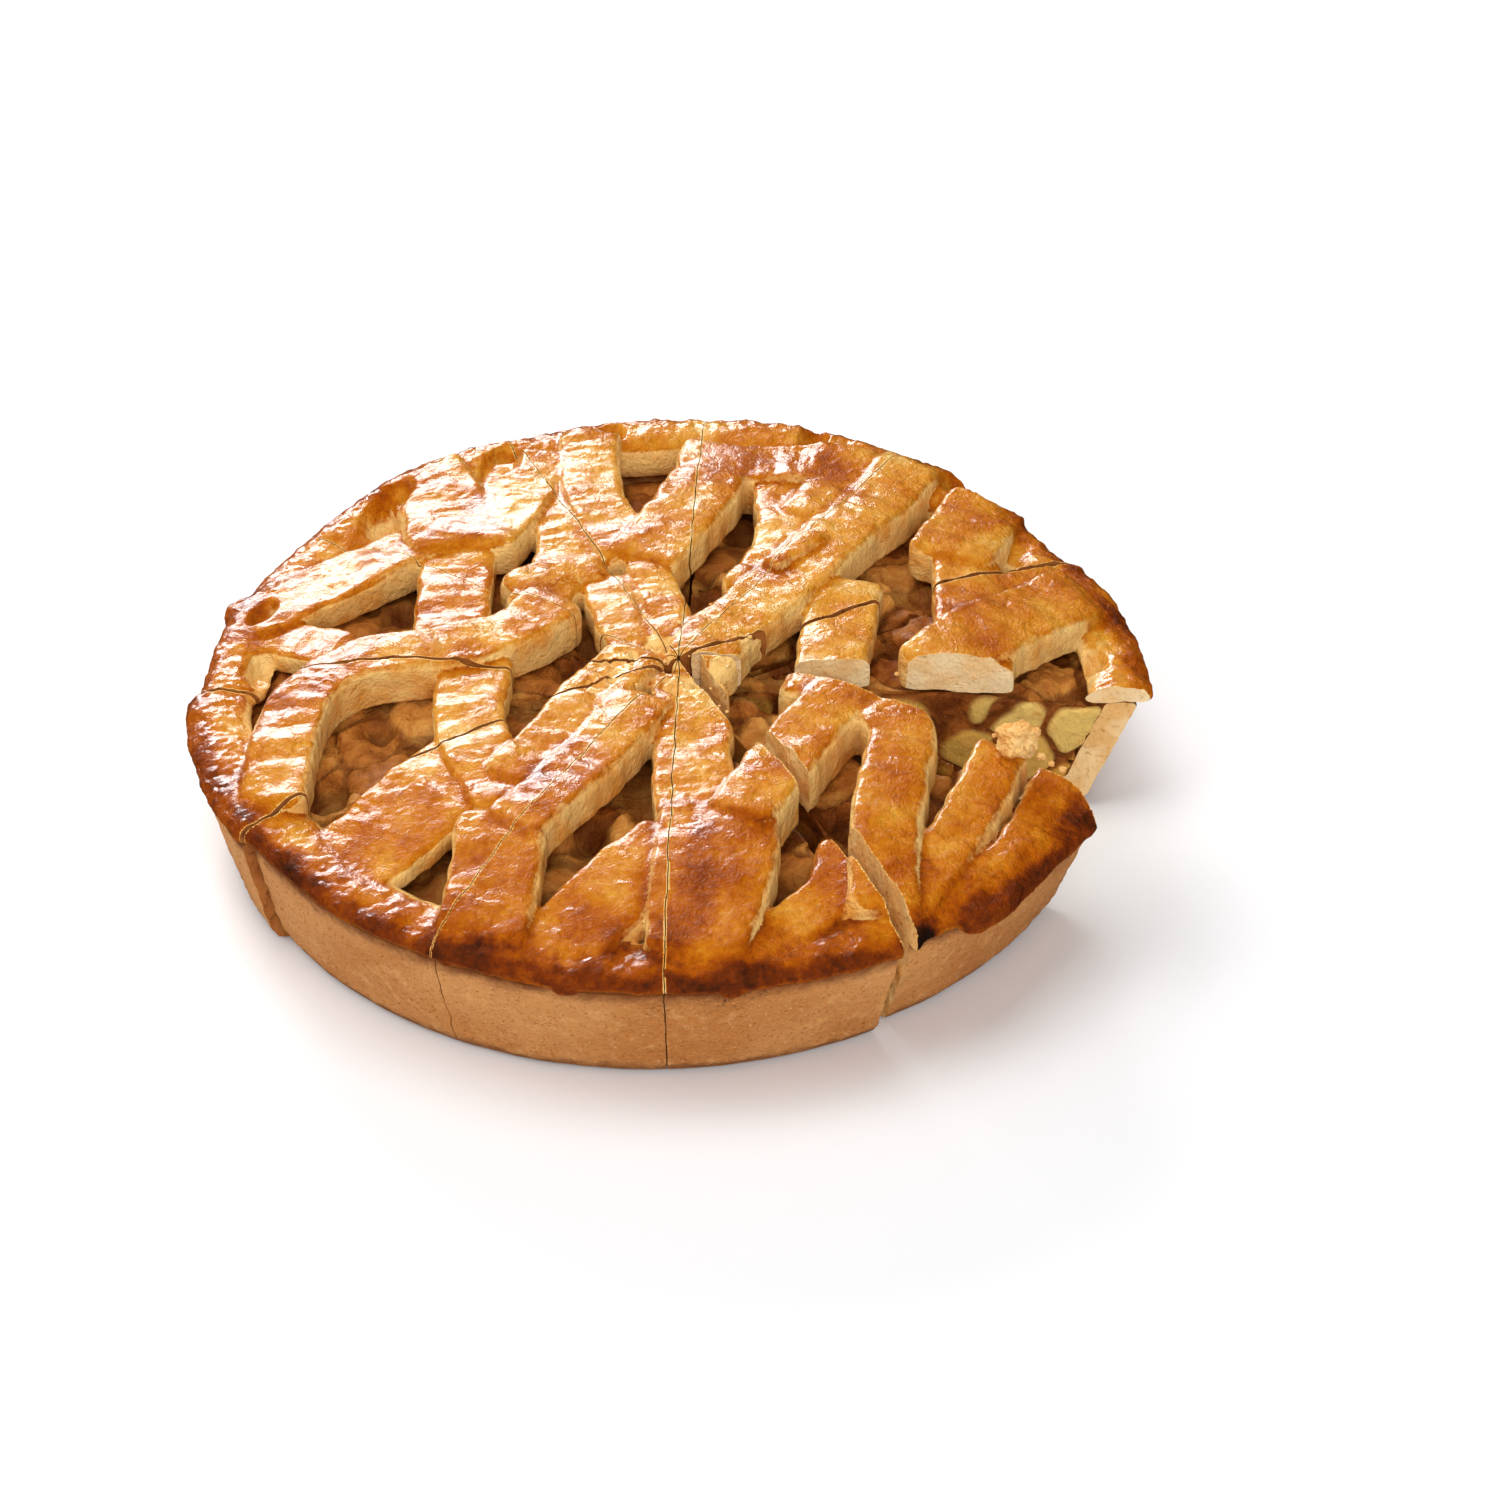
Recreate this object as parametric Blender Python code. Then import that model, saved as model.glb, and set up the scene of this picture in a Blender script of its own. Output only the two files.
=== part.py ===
"""Deep apple pie with a dough lattice, cut into slices, with one slice taken out.

Each slice is a shortcrust shell, an apple filling and the pieces of lattice that the
knife left on it. Metres, +Z up, standing on its base around the origin.
"""
import math

import bmesh
import bpy
from mathutils import Vector, noise

# Driving dimensions of the whole pie
base_radius = 0.1244
base_centre_x = -0.0045
seam_radius = 0.1346
seam_centre_x = -0.0010
seam_height = 0.0375
wall_thickness = 0.0095
base_thickness = 0.0065
crown_height = 0.0530
crown_radius = 0.080
rim_height = 0.0450
rim_radius = 0.1368
rim_width = 0.0190
side_bulge = 0.0027
back_bulge = 0.0035
wall_share_of_bulge = 0.45
back_rise = 0.0060
strip_bed_height = 0.0440
touching_gap = 0.0003

# The knife's cuts, as directions from where they cross, and how wide they gape
cut_centre = Vector((0.0025, -0.002))
cut_angles = (0.5, 30, 60, 87.5, 113.5, 145, 180, 209, 241, 269, 298, 333.5)
knife_gap = 0.0008
moved_slices = {
    1: Vector((0.0032, 0.0004)),
    7: Vector((-0.0030, -0.0008)),
    11: Vector((0.0030, 0.0050)),
}
tip_clearance = 0.0008
worn_corner = Vector((0.1185, -0.0565))
worn_corner_direction = Vector((-0.92, -0.39))

# How finely the faceted solids are drawn
round_segments = 60
route_step = 0.011
reach = 0.2

# Dough strips as (width, lift over the crown, route), all in millimetres
back_left_strips = (
    (28, 1.6, ((-86, 116), (-74, 92), (-67, 62))),
    (24, 1.2, ((-47, 117), (-50, 90), (-60, 62))),
    (22, -0.6, ((-66, 66), (-66, 38), (-66, 10))),
    (24, 0.0, ((-130, 34), (-105, 50), (-84, 64), (-66, 74))),
    (17, -1.4, ((-130, 32), (-112, 22), (-98, 14))),
)
left_strips = (
    (20, 1.4, ((-112, -62), (-111, -32), (-106, -12), (-93, 0), (-75, 3), (-58, 9), (-44, 18), (-34, 30))),
    (21, -0.4, ((-57, 4), (-58, -25), (-53, -45), (-44, -66))),
    (18, 0.3, ((-37, 92), (-33, 66), (-35, 46), (-42, 28))),
    (14, 0.9, ((-48, 38), (-36, 46), (-22, 50))),
    (15, -0.2, ((-21, 46), (-16, 24), (-8, 2))),
    (32, -1.6, ((-104, -98), (-84, -78), (-68, -60), (-54, -44))),
)
front_strips = (
    (20, 1.0, ((-10, 4), (-20, -14), (-31, -36), (-44, -58))),
    (19, 1.6, ((-7, -20), (-18, -42), (-30, -62), (-44, -82))),
    (25, 1.0, ((-46, -74), (-47, -98), (-52, -126))),
    (26, 0.0, ((-34, -128), (-14, -104), (4, -84))),
    (22, 0.2, ((5, -6), (7, -30), (7, -50), (8, -76))),
    (24, 1.5, ((20, -72), (18, -98), (9, -128))),
    (18, 1.2, ((7, -71), (5, -98), (4, -126))),
    (20, 2.6, ((20, -78), (31, -56), (41, -36), (58, -10))),
    (20, 2.4, ((36, -12), (56, -20), (66, -37), (64, -58), (61, -80), (60, -110))),
    (16, -0.2, ((14, -130), (36, -113), (47, -100), (50, -84))),
    (16, 1.0, ((62, -112), (78, -84), (87, -64), (96, -40))),
    (16, 0.2, ((82, -106), (98, -82), (107, -62), (114, -44))),
)
back_strips = (
    (19, 1.0, ((-28, 128), (-27, 103), (-24, 84), (-14, 56))),
    (24, 1.4, ((15, 120), (8, 92), (0, 72), (-10, 52))),
    (14, 0.2, ((-10, 58), (-4, 36), (2, 10))),
    (22, 1.2, ((8, 108), (35, 109), (63, 108))),
    (18, 1.0, ((58, 117), (48, 95), (40, 76))),
    (18, 0.2, ((33, 101), (34, 78), (32, 60), (22, 38))),
    (8, 2.4, ((29, 46), (45, 61))),
    (22, 1.4, ((78, 118), (66, 93), (55, 74), (43, 54), (28, 32), (14, 12), (8, -4))),
)
right_strips = (
    (21, 0.0, ((54, 42), (49, 18), (47, -8))),
    (22, -0.2, ((89, 68), (90, 44), (90, 22), (90, -2))),
    (26, 1.2, ((104, 100), (94, 84), (84, 58))),
    (12, -0.4, ((122, 70), (111, 58), (101, 45))),
    (26, 1.3, ((132, 50), (112, 34), (95, 18), (76, -4))),
)
# Recesses pressed into the rim as (x, y, length, width, direction) in millimetres and degrees
rim_recesses = (
    (-90, 91, 26, 12, 62),
    (-55, 113, 24, 12, 80),
    (-21, 131, 9, 8, 80),
    (44, 127, 15, 8, 90),
    (92, 103, 19, 11, -22),
    (126, 15, 12, 6, 70),
    (-122, 10, 16, 9, 80),
    (-124, 36, 12, 7, 60),
)
recess_depth = 0.0058
recess_outline = ((-1, -0.5), (-0.5, -1), (0.5, -1), (1, -0.5), (1, 0.5), (0.5, 1), (-0.5, 1), (-1, 0.5))
# Apple chunks standing out of the two faces of the gap, as (distance out, height, size)
chunk_places = (
    (0.040, 0.028, 0.0085),
    (0.057, 0.016, 0.0085),
    (0.071, 0.032, 0.0080),
    (0.087, 0.019, 0.0100),
    (0.106, 0.027, 0.0110),
)
chunk_stands_out = 0.0012
crumb_place = Vector((0.0995, -0.0435, 0.0560))
crumb_size = 0.0065
smallest_scrap = 150e-9


def clear_scene():
    """Removes whatever the startup file holds."""
    for item in list(bpy.data.objects):
        bpy.data.objects.remove(item)


def pastry_material(name, colour, roughness):
    """A matt or glazed food surface."""
    made = bpy.data.materials.new(name)
    made.use_nodes = True
    shader = made.node_tree.nodes["Principled BSDF"]
    shader.inputs["Base Color"].default_value = (*colour, 1)
    shader.inputs["Roughness"].default_value = roughness
    shader.inputs["Metallic"].default_value = 0
    return made


def new_object(name, points, faces):
    """A closed mesh object with its faces pointing out."""
    mesh = bpy.data.meshes.new(name)
    mesh.from_pydata([tuple(point) for point in points], [], faces)
    builder = bmesh.new()
    builder.from_mesh(mesh)
    bmesh.ops.recalc_face_normals(builder, faces=builder.faces)
    builder.to_mesh(mesh)
    builder.free()
    made = bpy.data.objects.new(name, mesh)
    bpy.context.scene.collection.objects.link(made)
    return made


def smoothstep(value):
    """0 below 0, 1 above 1, and a soft rise between."""
    value = min(max(value, 0), 1)
    return value * value * (3 - 2 * value)


def back_share(y):
    """How far a place belongs to the back of the pie, where the rim has puffed up."""
    return smoothstep((y - 0.060) / 0.070)


def rim_reach(turn):
    """Outer radius of the rim in a direction: it bulges at the sides and at the back."""
    y = rim_radius * math.sin(turn)
    return rim_radius + side_bulge * smoothstep(1 + y / 0.090) + back_bulge * back_share(y)


def rim_top(y):
    """Height of the rim's crest."""
    return rim_height + back_rise * back_share(y)


def crown(x, y):
    """Height of the baked top over a place: level in the middle, falling to the rim."""
    reach_here = rim_reach(math.atan2(y, x))
    out = (math.hypot(x, y) - crown_radius) / (reach_here - crown_radius)
    return crown_height + (rim_top(y) - crown_height) * smoothstep(out)


def wobble(x, y, size, seed):
    """A smooth unevenness between about -1 and 1, size metres from hump to hump."""
    return noise.noise(Vector((x / size, y / size, seed)))


def placed(radius, height, turn):
    """A place on a turned form, which leans and bulges with the wall it belongs to."""
    up = min(height / seam_height, 1)
    bulge = (rim_reach(turn) - rim_radius) * wall_share_of_bulge / seam_radius
    out = radius * (1 + bulge * up)
    lean = base_centre_x + (seam_centre_x - base_centre_x) * up
    return out * math.cos(turn) + lean, out * math.sin(turn)


def turned(name, profile, segments, lower=None):
    """Turns a profile of (radius, height) round +Z. It starts and ends on the axis."""
    points = [Vector((seam_centre_x, 0, profile[0][1])), Vector((seam_centre_x, 0, profile[-1][1]))]
    rings = []
    for radius, height in profile[1:-1]:
        rings.append(len(points))
        for step in range(segments):
            turn = math.tau * step / segments
            x, y = placed(radius, height, turn)
            drop = lower(x, y, height) if lower else 0
            points.append(Vector((x, y, height - drop)))
    faces = []
    for step in range(segments):
        after = (step + 1) % segments
        faces.append((0, rings[0] + after, rings[0] + step))
        faces.append((1, rings[-1] + step, rings[-1] + after))
        for low, high in zip(rings, rings[1:]):
            faces.append((low + step, low + after, high + after, high + step))
    return new_object(name, points, faces)


def shell_radius(height):
    """Outer radius of the leaning wall at a height."""
    return base_radius + (seam_radius - base_radius) * height / seam_height


def crust_body():
    """Base and leaning wall in one, with a rounded foot and a rounded inner corner."""
    inner_foot = shell_radius(base_thickness) - wall_thickness
    inner_top = seam_radius - wall_thickness
    profile = (
        (0, 0),
        (base_radius - 0.0045, 0),
        (base_radius - 0.0012, 0.0012),
        (shell_radius(0.0045) - 0.0001, 0.0045),
        (shell_radius(0.022) + 0.0004, 0.022),
        (seam_radius, seam_height - 0.0010),
        (seam_radius - 0.0012, seam_height),
        (inner_top + 0.0008, seam_height),
        (inner_top, seam_height - 0.0008),
        (inner_foot + 0.0015, base_thickness + 0.0050),
        (inner_foot - 0.0040, base_thickness),
        (0, base_thickness),
    )
    return turned("crust", profile, round_segments)


def filling_drop(x, y, height):
    """How far the lumpy top of the filling lies under its highest level."""
    if height < seam_height - 0.002:
        return 0
    hollow = 0.5 + 0.5 * wobble(x, y, 0.011, 3.0)
    return 0.0034 * hollow


def filling_body():
    """Cooked apple that fills the shell, with a lumpy top just under the strips."""
    inner_foot = shell_radius(base_thickness) - wall_thickness - touching_gap
    inner_top = seam_radius - wall_thickness - touching_gap
    floor = base_thickness + touching_gap
    level = strip_bed_height - touching_gap
    bed_edge = crown_radius + 0.002
    profile = [
        (0, floor),
        (inner_foot - 0.0043, floor),
        (inner_foot + 0.0012, floor + 0.0050),
        (inner_top - 0.0008, seam_height - 0.0022),
        (inner_top - 0.0018, seam_height - 0.0004),
    ]
    for radius in (0.117, 0.108, 0.099, 0.090):
        out = (radius - bed_edge) / (0.124 - bed_edge)
        profile.append((radius, level + (seam_height - level) * out - 0.0001))
    for radius in (0.081, 0.072, 0.063, 0.054, 0.045, 0.036, 0.027, 0.018, 0.009):
        profile.append((radius, level))
    profile.append((0, level))
    return turned("filling", profile, round_segments, filling_drop)


def strip_bed():
    """All that lies under the lattice: it trims the strips' undersides."""
    profile = (
        (0, 0.01),
        (0.16, 0.01),
        (0.16, seam_height + touching_gap),
        (0.124, seam_height + touching_gap),
        (crown_radius + 0.002, strip_bed_height),
        (0, strip_bed_height),
    )
    return turned("strip_bed", profile, round_segments)


def rim_ring(shift):
    """The uneven rim that the strips' ends are pressed into, moved with its slice."""
    section = (
        (-rim_width, 0.033),
        (-rim_width, 0.0415),
        (-rim_width + 0.0030, 0.0450),
        (-rim_width + 0.0090, 0.0462),
        (-0.0045, 0.0450),
        (-0.0008, 0.0425),
        (0, 0.0398),
        (-0.0018, seam_height + 0.0001),
        (-0.0040, 0.033),
    )
    points = []
    for step in range(round_segments):
        turn = math.tau * step / round_segments
        outer = rim_reach(turn) + 0.0011 * wobble(math.cos(turn), math.sin(turn), 0.17, 7.0)
        for inward, height in section:
            x = (outer + inward) * math.cos(turn)
            y = (outer + inward) * math.sin(turn)
            share = min(max((height - seam_height - 0.001) / 0.0035, 0), 1)
            swell = 0.0009 * wobble(x, y, 0.03, 9.0) + back_rise * back_share(y)
            points.append(Vector((x + shift.x, y + shift.y, height + swell * share)))
    sides = len(section)
    faces = []
    for step in range(round_segments):
        here = step * sides
        after = (step + 1) % round_segments * sides
        for side in range(sides):
            beside = (side + 1) % sides
            faces.append((here + side, after + side, after + beside, here + beside))
    return new_object("rim", points, faces)


def smooth_route(route):
    """Points about a step apart on a soft curve through a route given in millimetres."""
    knots = []
    for x, y in route:
        held_in = min(1, (rim_reach(math.atan2(y, x)) - 0.008) * 1000 / math.hypot(x, y))
        knots.append(Vector((x * held_in, y * held_in)) / 1000)
    knots = [2 * knots[0] - knots[1], *knots, 2 * knots[-1] - knots[-2]]
    samples = []
    for before, start, end, after in zip(knots, knots[1:], knots[2:], knots[3:]):
        pieces = max(1, round((end - start).length / route_step))
        for piece in range(pieces):
            t = piece / pieces
            bend = 2 * before - 5 * start + 4 * end - after
            twist = 3 * start - before - 3 * end + after
            samples.append(start + 0.5 * t * (end - before + t * (bend + t * twist)))
    samples.append(knots[-2])
    return samples


def strip_section(half_width):
    """Across one strip, left foot to right foot: (offset, depth under its top)."""
    edge = min(0.0032, half_width * 0.4)
    return (
        (-half_width, None),
        (-half_width, 0.0050),
        (-half_width + edge * 0.35, 0.0016),
        (-half_width + edge * 1.6, 0.0),
        (half_width - edge * 1.6, 0.0),
        (half_width - edge * 0.35, 0.0016),
        (half_width, 0.0050),
        (half_width, None),
    )


def dough_strip(number, width, lift, route):
    """One ribbon of dough that follows its route over the crown, with softened ends."""
    samples = smooth_route(route)
    foot = 0.0330 - 0.00037 * (number % 7)
    first_out = samples[0] + (samples[0] - samples[1]).normalized() * 0.002
    last_out = samples[-1] + (samples[-1] - samples[-2]).normalized() * 0.002
    stations = [(first_out, 0.72, 0.0022)]
    stations += [(sample, 1, 0) for sample in samples]
    stations += [(last_out, 0.72, 0.0022)]
    points = []
    for index, (place, narrowing, sunk) in enumerate(stations):
        ahead = stations[min(index + 1, len(stations) - 1)][0]
        behind = stations[max(index - 1, 0)][0]
        along = (ahead - behind).normalized()
        across = Vector((along.y, -along.x))
        fullness = 1 + 0.07 * wobble(place.x, place.y, 0.02, 11.0 + number)
        for offset, depth in strip_section(width / 2000 * narrowing * fullness):
            spot = place + across * offset
            top = crown(spot.x, spot.y) + lift / 1000 - sunk
            top += 0.0006 * wobble(spot.x, spot.y, 0.018, 5.0)
            points.append(Vector((*spot, foot if depth is None else top - depth)))
    sides = 8
    last = len(points) - sides
    faces = [tuple(range(sides)), tuple(range(last, last + sides))]
    for here in range(0, last, sides):
        for side in range(sides):
            beside = (side + 1) % sides
            faces.append((here + side, here + beside, here + sides + beside, here + sides + side))
    return new_object(f"strip_{number:02d}", points, faces)


def evaluated_copy(item):
    """Puts the result of an object's modifiers into its own mesh."""
    bpy.context.view_layer.update()
    graph = bpy.context.evaluated_depsgraph_get()
    item.data = bpy.data.meshes.new_from_object(item.evaluated_get(graph))
    item.modifiers.clear()


def apply_boolean(item, operation, other=None, collection=None, solver="EXACT"):
    """Joins, cuts or trims an object and keeps the result as its mesh."""
    step = item.modifiers.new(operation.lower(), "BOOLEAN")
    step.solver = solver
    step.operation = operation
    if collection:
        step.operand_type = "COLLECTION"
        step.collection = collection
    else:
        step.object = other
    evaluated_copy(item)


def gathered(name, items):
    """Moves objects into a collection of their own, for one union."""
    group = bpy.data.collections.new(name)
    bpy.context.scene.collection.children.link(group)
    for item in items:
        bpy.context.scene.collection.objects.unlink(item)
        group.objects.link(item)
    return group


def discard(items):
    """Removes helpers once their shape has been used."""
    for item in items:
        bpy.data.objects.remove(item)


def recess_cutter(x, y, length, width, direction):
    """A tapering block that presses a recess into the rim."""
    turn = math.radians(direction)
    along = Vector((math.cos(turn), math.sin(turn)))
    across = Vector((-along.y, along.x))
    points = []
    floor = crown(x / 1000, y / 1000) - recess_depth
    for height, spread in ((floor, 0.55), (floor + 0.02, 1.35)):
        for lengthwise, sideways in recess_outline:
            spot = Vector((x, y)) / 1000
            spot += along * lengthwise * length / 2000 * spread
            spot += across * sideways * width / 2000 * spread
            points.append(Vector((*spot, height)))
    faces = [tuple(range(8)), tuple(range(8, 16))]
    for side in range(8):
        beside = (side + 1) % 8
        faces.append((side, beside, 8 + beside, 8 + side))
    return new_object("recess", points, faces)


def lattice_body(shift):
    """All strips and the rim in one, with recesses, lying on the filling and the wall."""
    strips = back_left_strips + left_strips + front_strips + back_strips + right_strips
    ribbons = [dough_strip(number, *strip) for number, strip in enumerate(strips, 1)]
    group = gathered("ribbons", ribbons)
    lattice = rim_ring(shift)
    apply_boolean(lattice, "UNION", collection=group)
    discard(ribbons)
    bpy.data.collections.remove(group)
    helpers = [recess_cutter(*recess) for recess in rim_recesses]
    helpers.append(strip_bed())
    for helper in helpers:
        apply_boolean(lattice, "DIFFERENCE", helper)
    discard(helpers)
    return lattice


def kept_side(outline, place, inward):
    """Clips a polygon to the side of a line that inward points to."""
    kept = []
    for here, after in zip(outline, outline[1:] + outline[:1]):
        a = (here - place).dot(inward)
        b = (after - place).dot(inward)
        if a >= 0:
            kept.append(here)
        if a * b < 0:
            kept.append(here + (after - here) * (a / (a - b)))
    return kept


def slice_prism(number):
    """The upright wedge of space that one slice fills between its two cuts."""
    start = math.radians(cut_angles[number - 1])
    end = math.radians(cut_angles[number])
    centre = cut_centre + moved_slices.get(number, Vector((0, 0)))
    past_start = Vector((-math.sin(start), math.cos(start)))
    before_end = Vector((math.sin(end), -math.cos(end)))
    outline = [Vector(corner) * reach for corner in ((-1, -1), (1, -1), (1, 1), (-1, 1))]
    outline = kept_side(outline, centre + past_start * knife_gap / 2, past_start)
    outline = kept_side(outline, centre + before_end * knife_gap / 2, before_end)
    if number == len(cut_angles) - 1:
        first_cut = math.radians(cut_angles[0])
        off_first = Vector((math.sin(first_cut), -math.cos(first_cut)))
        outline = kept_side(outline, cut_centre + off_first * tip_clearance, off_first)
        outline = kept_side(outline, worn_corner, worn_corner_direction)
    sides = len(outline)
    points = [Vector((*corner, -0.02)) for corner in outline]
    points += [Vector((*corner, 0.09)) for corner in outline]
    faces = [tuple(range(sides)), tuple(range(sides, 2 * sides))]
    for side in range(sides):
        beside = (side + 1) % sides
        faces.append((side, beside, sides + beside, sides + side))
    return new_object("prism", points, faces)


def copied(item, name, shift=Vector((0, 0))):
    """A copy with its own mesh, moved in plan."""
    made = item.copy()
    made.data = item.data.copy()
    made.name = name
    for point in made.data.vertices:
        point.co.x += shift.x
        point.co.y += shift.y
    bpy.context.scene.collection.objects.link(made)
    return made


def add_chunks(filling, angle, inward_turn, shift):
    """Lets apple chunks stand a little out of a face of the gap."""
    out = Vector((math.cos(angle), math.sin(angle)))
    inward = Vector((-out.y, out.x)) * inward_turn
    chunks = []
    for index, (distance, height, size) in enumerate(chunk_places):
        spot = cut_centre + shift + out * distance
        spot += inward * (size * 0.55 - chunk_stands_out + knife_gap / 2)
        builder = bmesh.new()
        bmesh.ops.create_icosphere(builder, subdivisions=1, radius=size)
        for point in builder.verts:
            flat = Vector((point.co.x, point.co.y))
            depth = flat.dot(inward)
            flat -= inward * depth * 0.45
            point.co = Vector((*(spot + flat * (1 + 0.12 * (index % 2))), height + point.co.z * 0.85))
        mesh = bpy.data.meshes.new("chunk")
        builder.to_mesh(mesh)
        builder.free()
        chunk = bpy.data.objects.new("chunk", mesh)
        bpy.context.scene.collection.objects.link(chunk)
        chunks.append(chunk)
    group = gathered("chunks", chunks)
    apply_boolean(filling, "UNION", collection=group)
    discard(chunks)
    bpy.data.collections.remove(group)


def crumb():
    """A loose-looking crumb of dough stuck to a strip's end beside the gap."""
    builder = bmesh.new()
    bmesh.ops.create_icosphere(builder, subdivisions=2, radius=crumb_size)
    for point in builder.verts:
        bump = 1 + 0.18 * wobble(point.co.x + point.co.z, point.co.y, 0.004, 2.0)
        point.co = point.co * bump + crumb_place
    mesh = bpy.data.meshes.new("crumb")
    builder.to_mesh(mesh)
    builder.free()
    made = bpy.data.objects.new("crumb", mesh)
    bpy.context.scene.collection.objects.link(made)
    return made


def islands(item):
    """The separate closed bodies in an object's mesh, biggest first, without scraps."""
    builder = bmesh.new()
    builder.from_mesh(item.data)
    bmesh.ops.remove_doubles(builder, verts=builder.verts, dist=1e-6)
    found = []
    waiting = set(builder.verts)
    while waiting:
        group = {waiting.pop()}
        front = list(group)
        while front:
            for edge in front.pop().link_edges:
                for vert in edge.verts:
                    if vert in waiting:
                        waiting.discard(vert)
                        group.add(vert)
                        front.append(vert)
        found.append(group)
    meshes = []
    for group in found:
        order = {vert: index for index, vert in enumerate(group)}
        own_faces = [face for face in builder.faces if face.verts[0] in group]
        faces = [tuple(order[vert] for vert in face.verts) for face in own_faces]
        mesh = bpy.data.meshes.new(item.name)
        mesh.from_pydata([tuple(vert.co) for vert in group], [], faces)
        check = bmesh.new()
        check.from_mesh(mesh)
        volume = check.calc_volume()
        check.free()
        if volume > smallest_scrap:
            meshes.append((volume, mesh))
    builder.free()
    meshes.sort(key=lambda pair: -pair[0])
    return [mesh for volume, mesh in meshes]


def cut_slice(number, bodies, materials):
    """The shell, the filling and the lattice pieces of one slice."""
    shift = moved_slices.get(number, Vector((0, 0)))
    prism = slice_prism(number)
    pieces = []
    for kind in ("crust", "filling"):
        piece = copied(bodies[kind], f"{kind}_{number:02d}", shift)
        apply_boolean(piece, "INTERSECT", prism)
        if kind == "filling" and number == 1:
            add_chunks(piece, math.radians(cut_angles[0]), 1, shift)
        if kind == "filling" and number == len(cut_angles) - 1:
            add_chunks(piece, math.radians(cut_angles[-1]), -1, shift)
        piece.data.materials.clear()
        piece.data.materials.append(materials[kind])
        pieces.append(piece)
    lattice = copied(bodies["lattice", number in moved_slices and number], "lattice")
    # The exact solver leaves some of these many-sided cuts open, and this one closes them.
    apply_boolean(lattice, "INTERSECT", prism, solver="MANIFOLD")
    if number == len(cut_angles) - 1:
        lump = crumb()
        apply_boolean(lattice, "UNION", lump, solver="MANIFOLD")
        discard([lump])
    for index, mesh in enumerate(islands(lattice)):
        ending = f"_{'abcdefgh'[index - 1]}" if index else ""
        piece = bpy.data.objects.new(f"lattice_{number:02d}{ending}", mesh)
        bpy.context.scene.collection.objects.link(piece)
        mesh.materials.append(materials["lattice"])
        pieces.append(piece)
    discard([prism, lattice])
    return pieces


def stand_at_origin(pieces):
    """Moves all pieces together so the pie stands centred over the origin."""
    places = [point.co for piece in pieces for point in piece.data.vertices]
    low = Vector([min(place[axis] for place in places) for axis in range(3)])
    high = Vector([max(place[axis] for place in places) for axis in range(3)])
    middle = (low + high) / 2
    for piece in pieces:
        for point in piece.data.vertices:
            point.co -= Vector((middle.x, middle.y, low.z))


def build_pie():
    """Makes the whole pie and cuts it."""
    clear_scene()
    materials = {
        "crust": pastry_material("shortcrust", (0.52, 0.26, 0.09), 0.8),
        "filling": pastry_material("apple_filling", (0.42, 0.19, 0.06), 0.35),
        "lattice": pastry_material("glazed_dough", (0.62, 0.27, 0.06), 0.3),
    }
    bodies = {"crust": crust_body(), "filling": filling_body()}
    bodies["lattice", False] = lattice_body(Vector((0, 0)))
    for number, shift in moved_slices.items():
        bodies["lattice", number] = lattice_body(shift)
    pieces = []
    for number in range(1, len(cut_angles)):
        pieces += cut_slice(number, bodies, materials)
    discard(bodies.values())
    stand_at_origin(pieces)
    for piece in pieces:
        piece.data.shade_flat()


build_pie()
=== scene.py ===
# Looks of a deep fruit pie with a woven dough lattice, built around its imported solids
import itertools
import math

import bpy
import numpy as np
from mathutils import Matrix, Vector, noise
from mathutils.kdtree import KDTree


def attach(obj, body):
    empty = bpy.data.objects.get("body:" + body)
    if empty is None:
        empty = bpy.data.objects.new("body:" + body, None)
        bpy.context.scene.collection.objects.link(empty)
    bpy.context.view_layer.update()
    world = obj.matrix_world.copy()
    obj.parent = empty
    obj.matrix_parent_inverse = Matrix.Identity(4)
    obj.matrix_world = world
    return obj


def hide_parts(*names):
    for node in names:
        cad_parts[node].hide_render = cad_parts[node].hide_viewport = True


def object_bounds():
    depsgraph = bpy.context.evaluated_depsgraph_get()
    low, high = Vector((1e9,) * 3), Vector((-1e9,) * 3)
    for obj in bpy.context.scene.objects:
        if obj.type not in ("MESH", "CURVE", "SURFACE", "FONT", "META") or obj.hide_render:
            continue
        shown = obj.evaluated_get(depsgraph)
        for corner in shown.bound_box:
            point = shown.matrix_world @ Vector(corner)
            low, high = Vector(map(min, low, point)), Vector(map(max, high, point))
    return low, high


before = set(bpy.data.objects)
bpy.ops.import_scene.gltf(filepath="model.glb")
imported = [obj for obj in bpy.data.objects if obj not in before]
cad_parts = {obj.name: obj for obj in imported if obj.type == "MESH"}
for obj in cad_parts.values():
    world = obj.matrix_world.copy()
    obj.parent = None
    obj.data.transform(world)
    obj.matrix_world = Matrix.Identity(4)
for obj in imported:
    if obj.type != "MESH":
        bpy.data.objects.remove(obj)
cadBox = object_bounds()

# The pie as a whole, in metres in the frame, repeated from the solids
pie = {
    "middle": np.array((-0.00016, -0.00319)),
    "baseRadius": 0.1244,
    "baseCentreX": -0.0045,
    "seamRadius": 0.1346,
    "seamCentreX": -0.0010,
    "seamHeight": 0.0375,
    "wallThickness": 0.0095,
    "baseThickness": 0.0065,
    "crownHeight": 0.0530,
    "crownRadius": 0.080,
    "rimHeight": 0.0450,
    "rimRadius": 0.1368,
    "rimWidth": 0.0190,
    "sideBulge": 0.0027,
    "backBulge": 0.0035,
    "wallShareOfBulge": 0.45,
    "backRise": 0.0060,
    "bedHeight": 0.0440,
}

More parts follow.
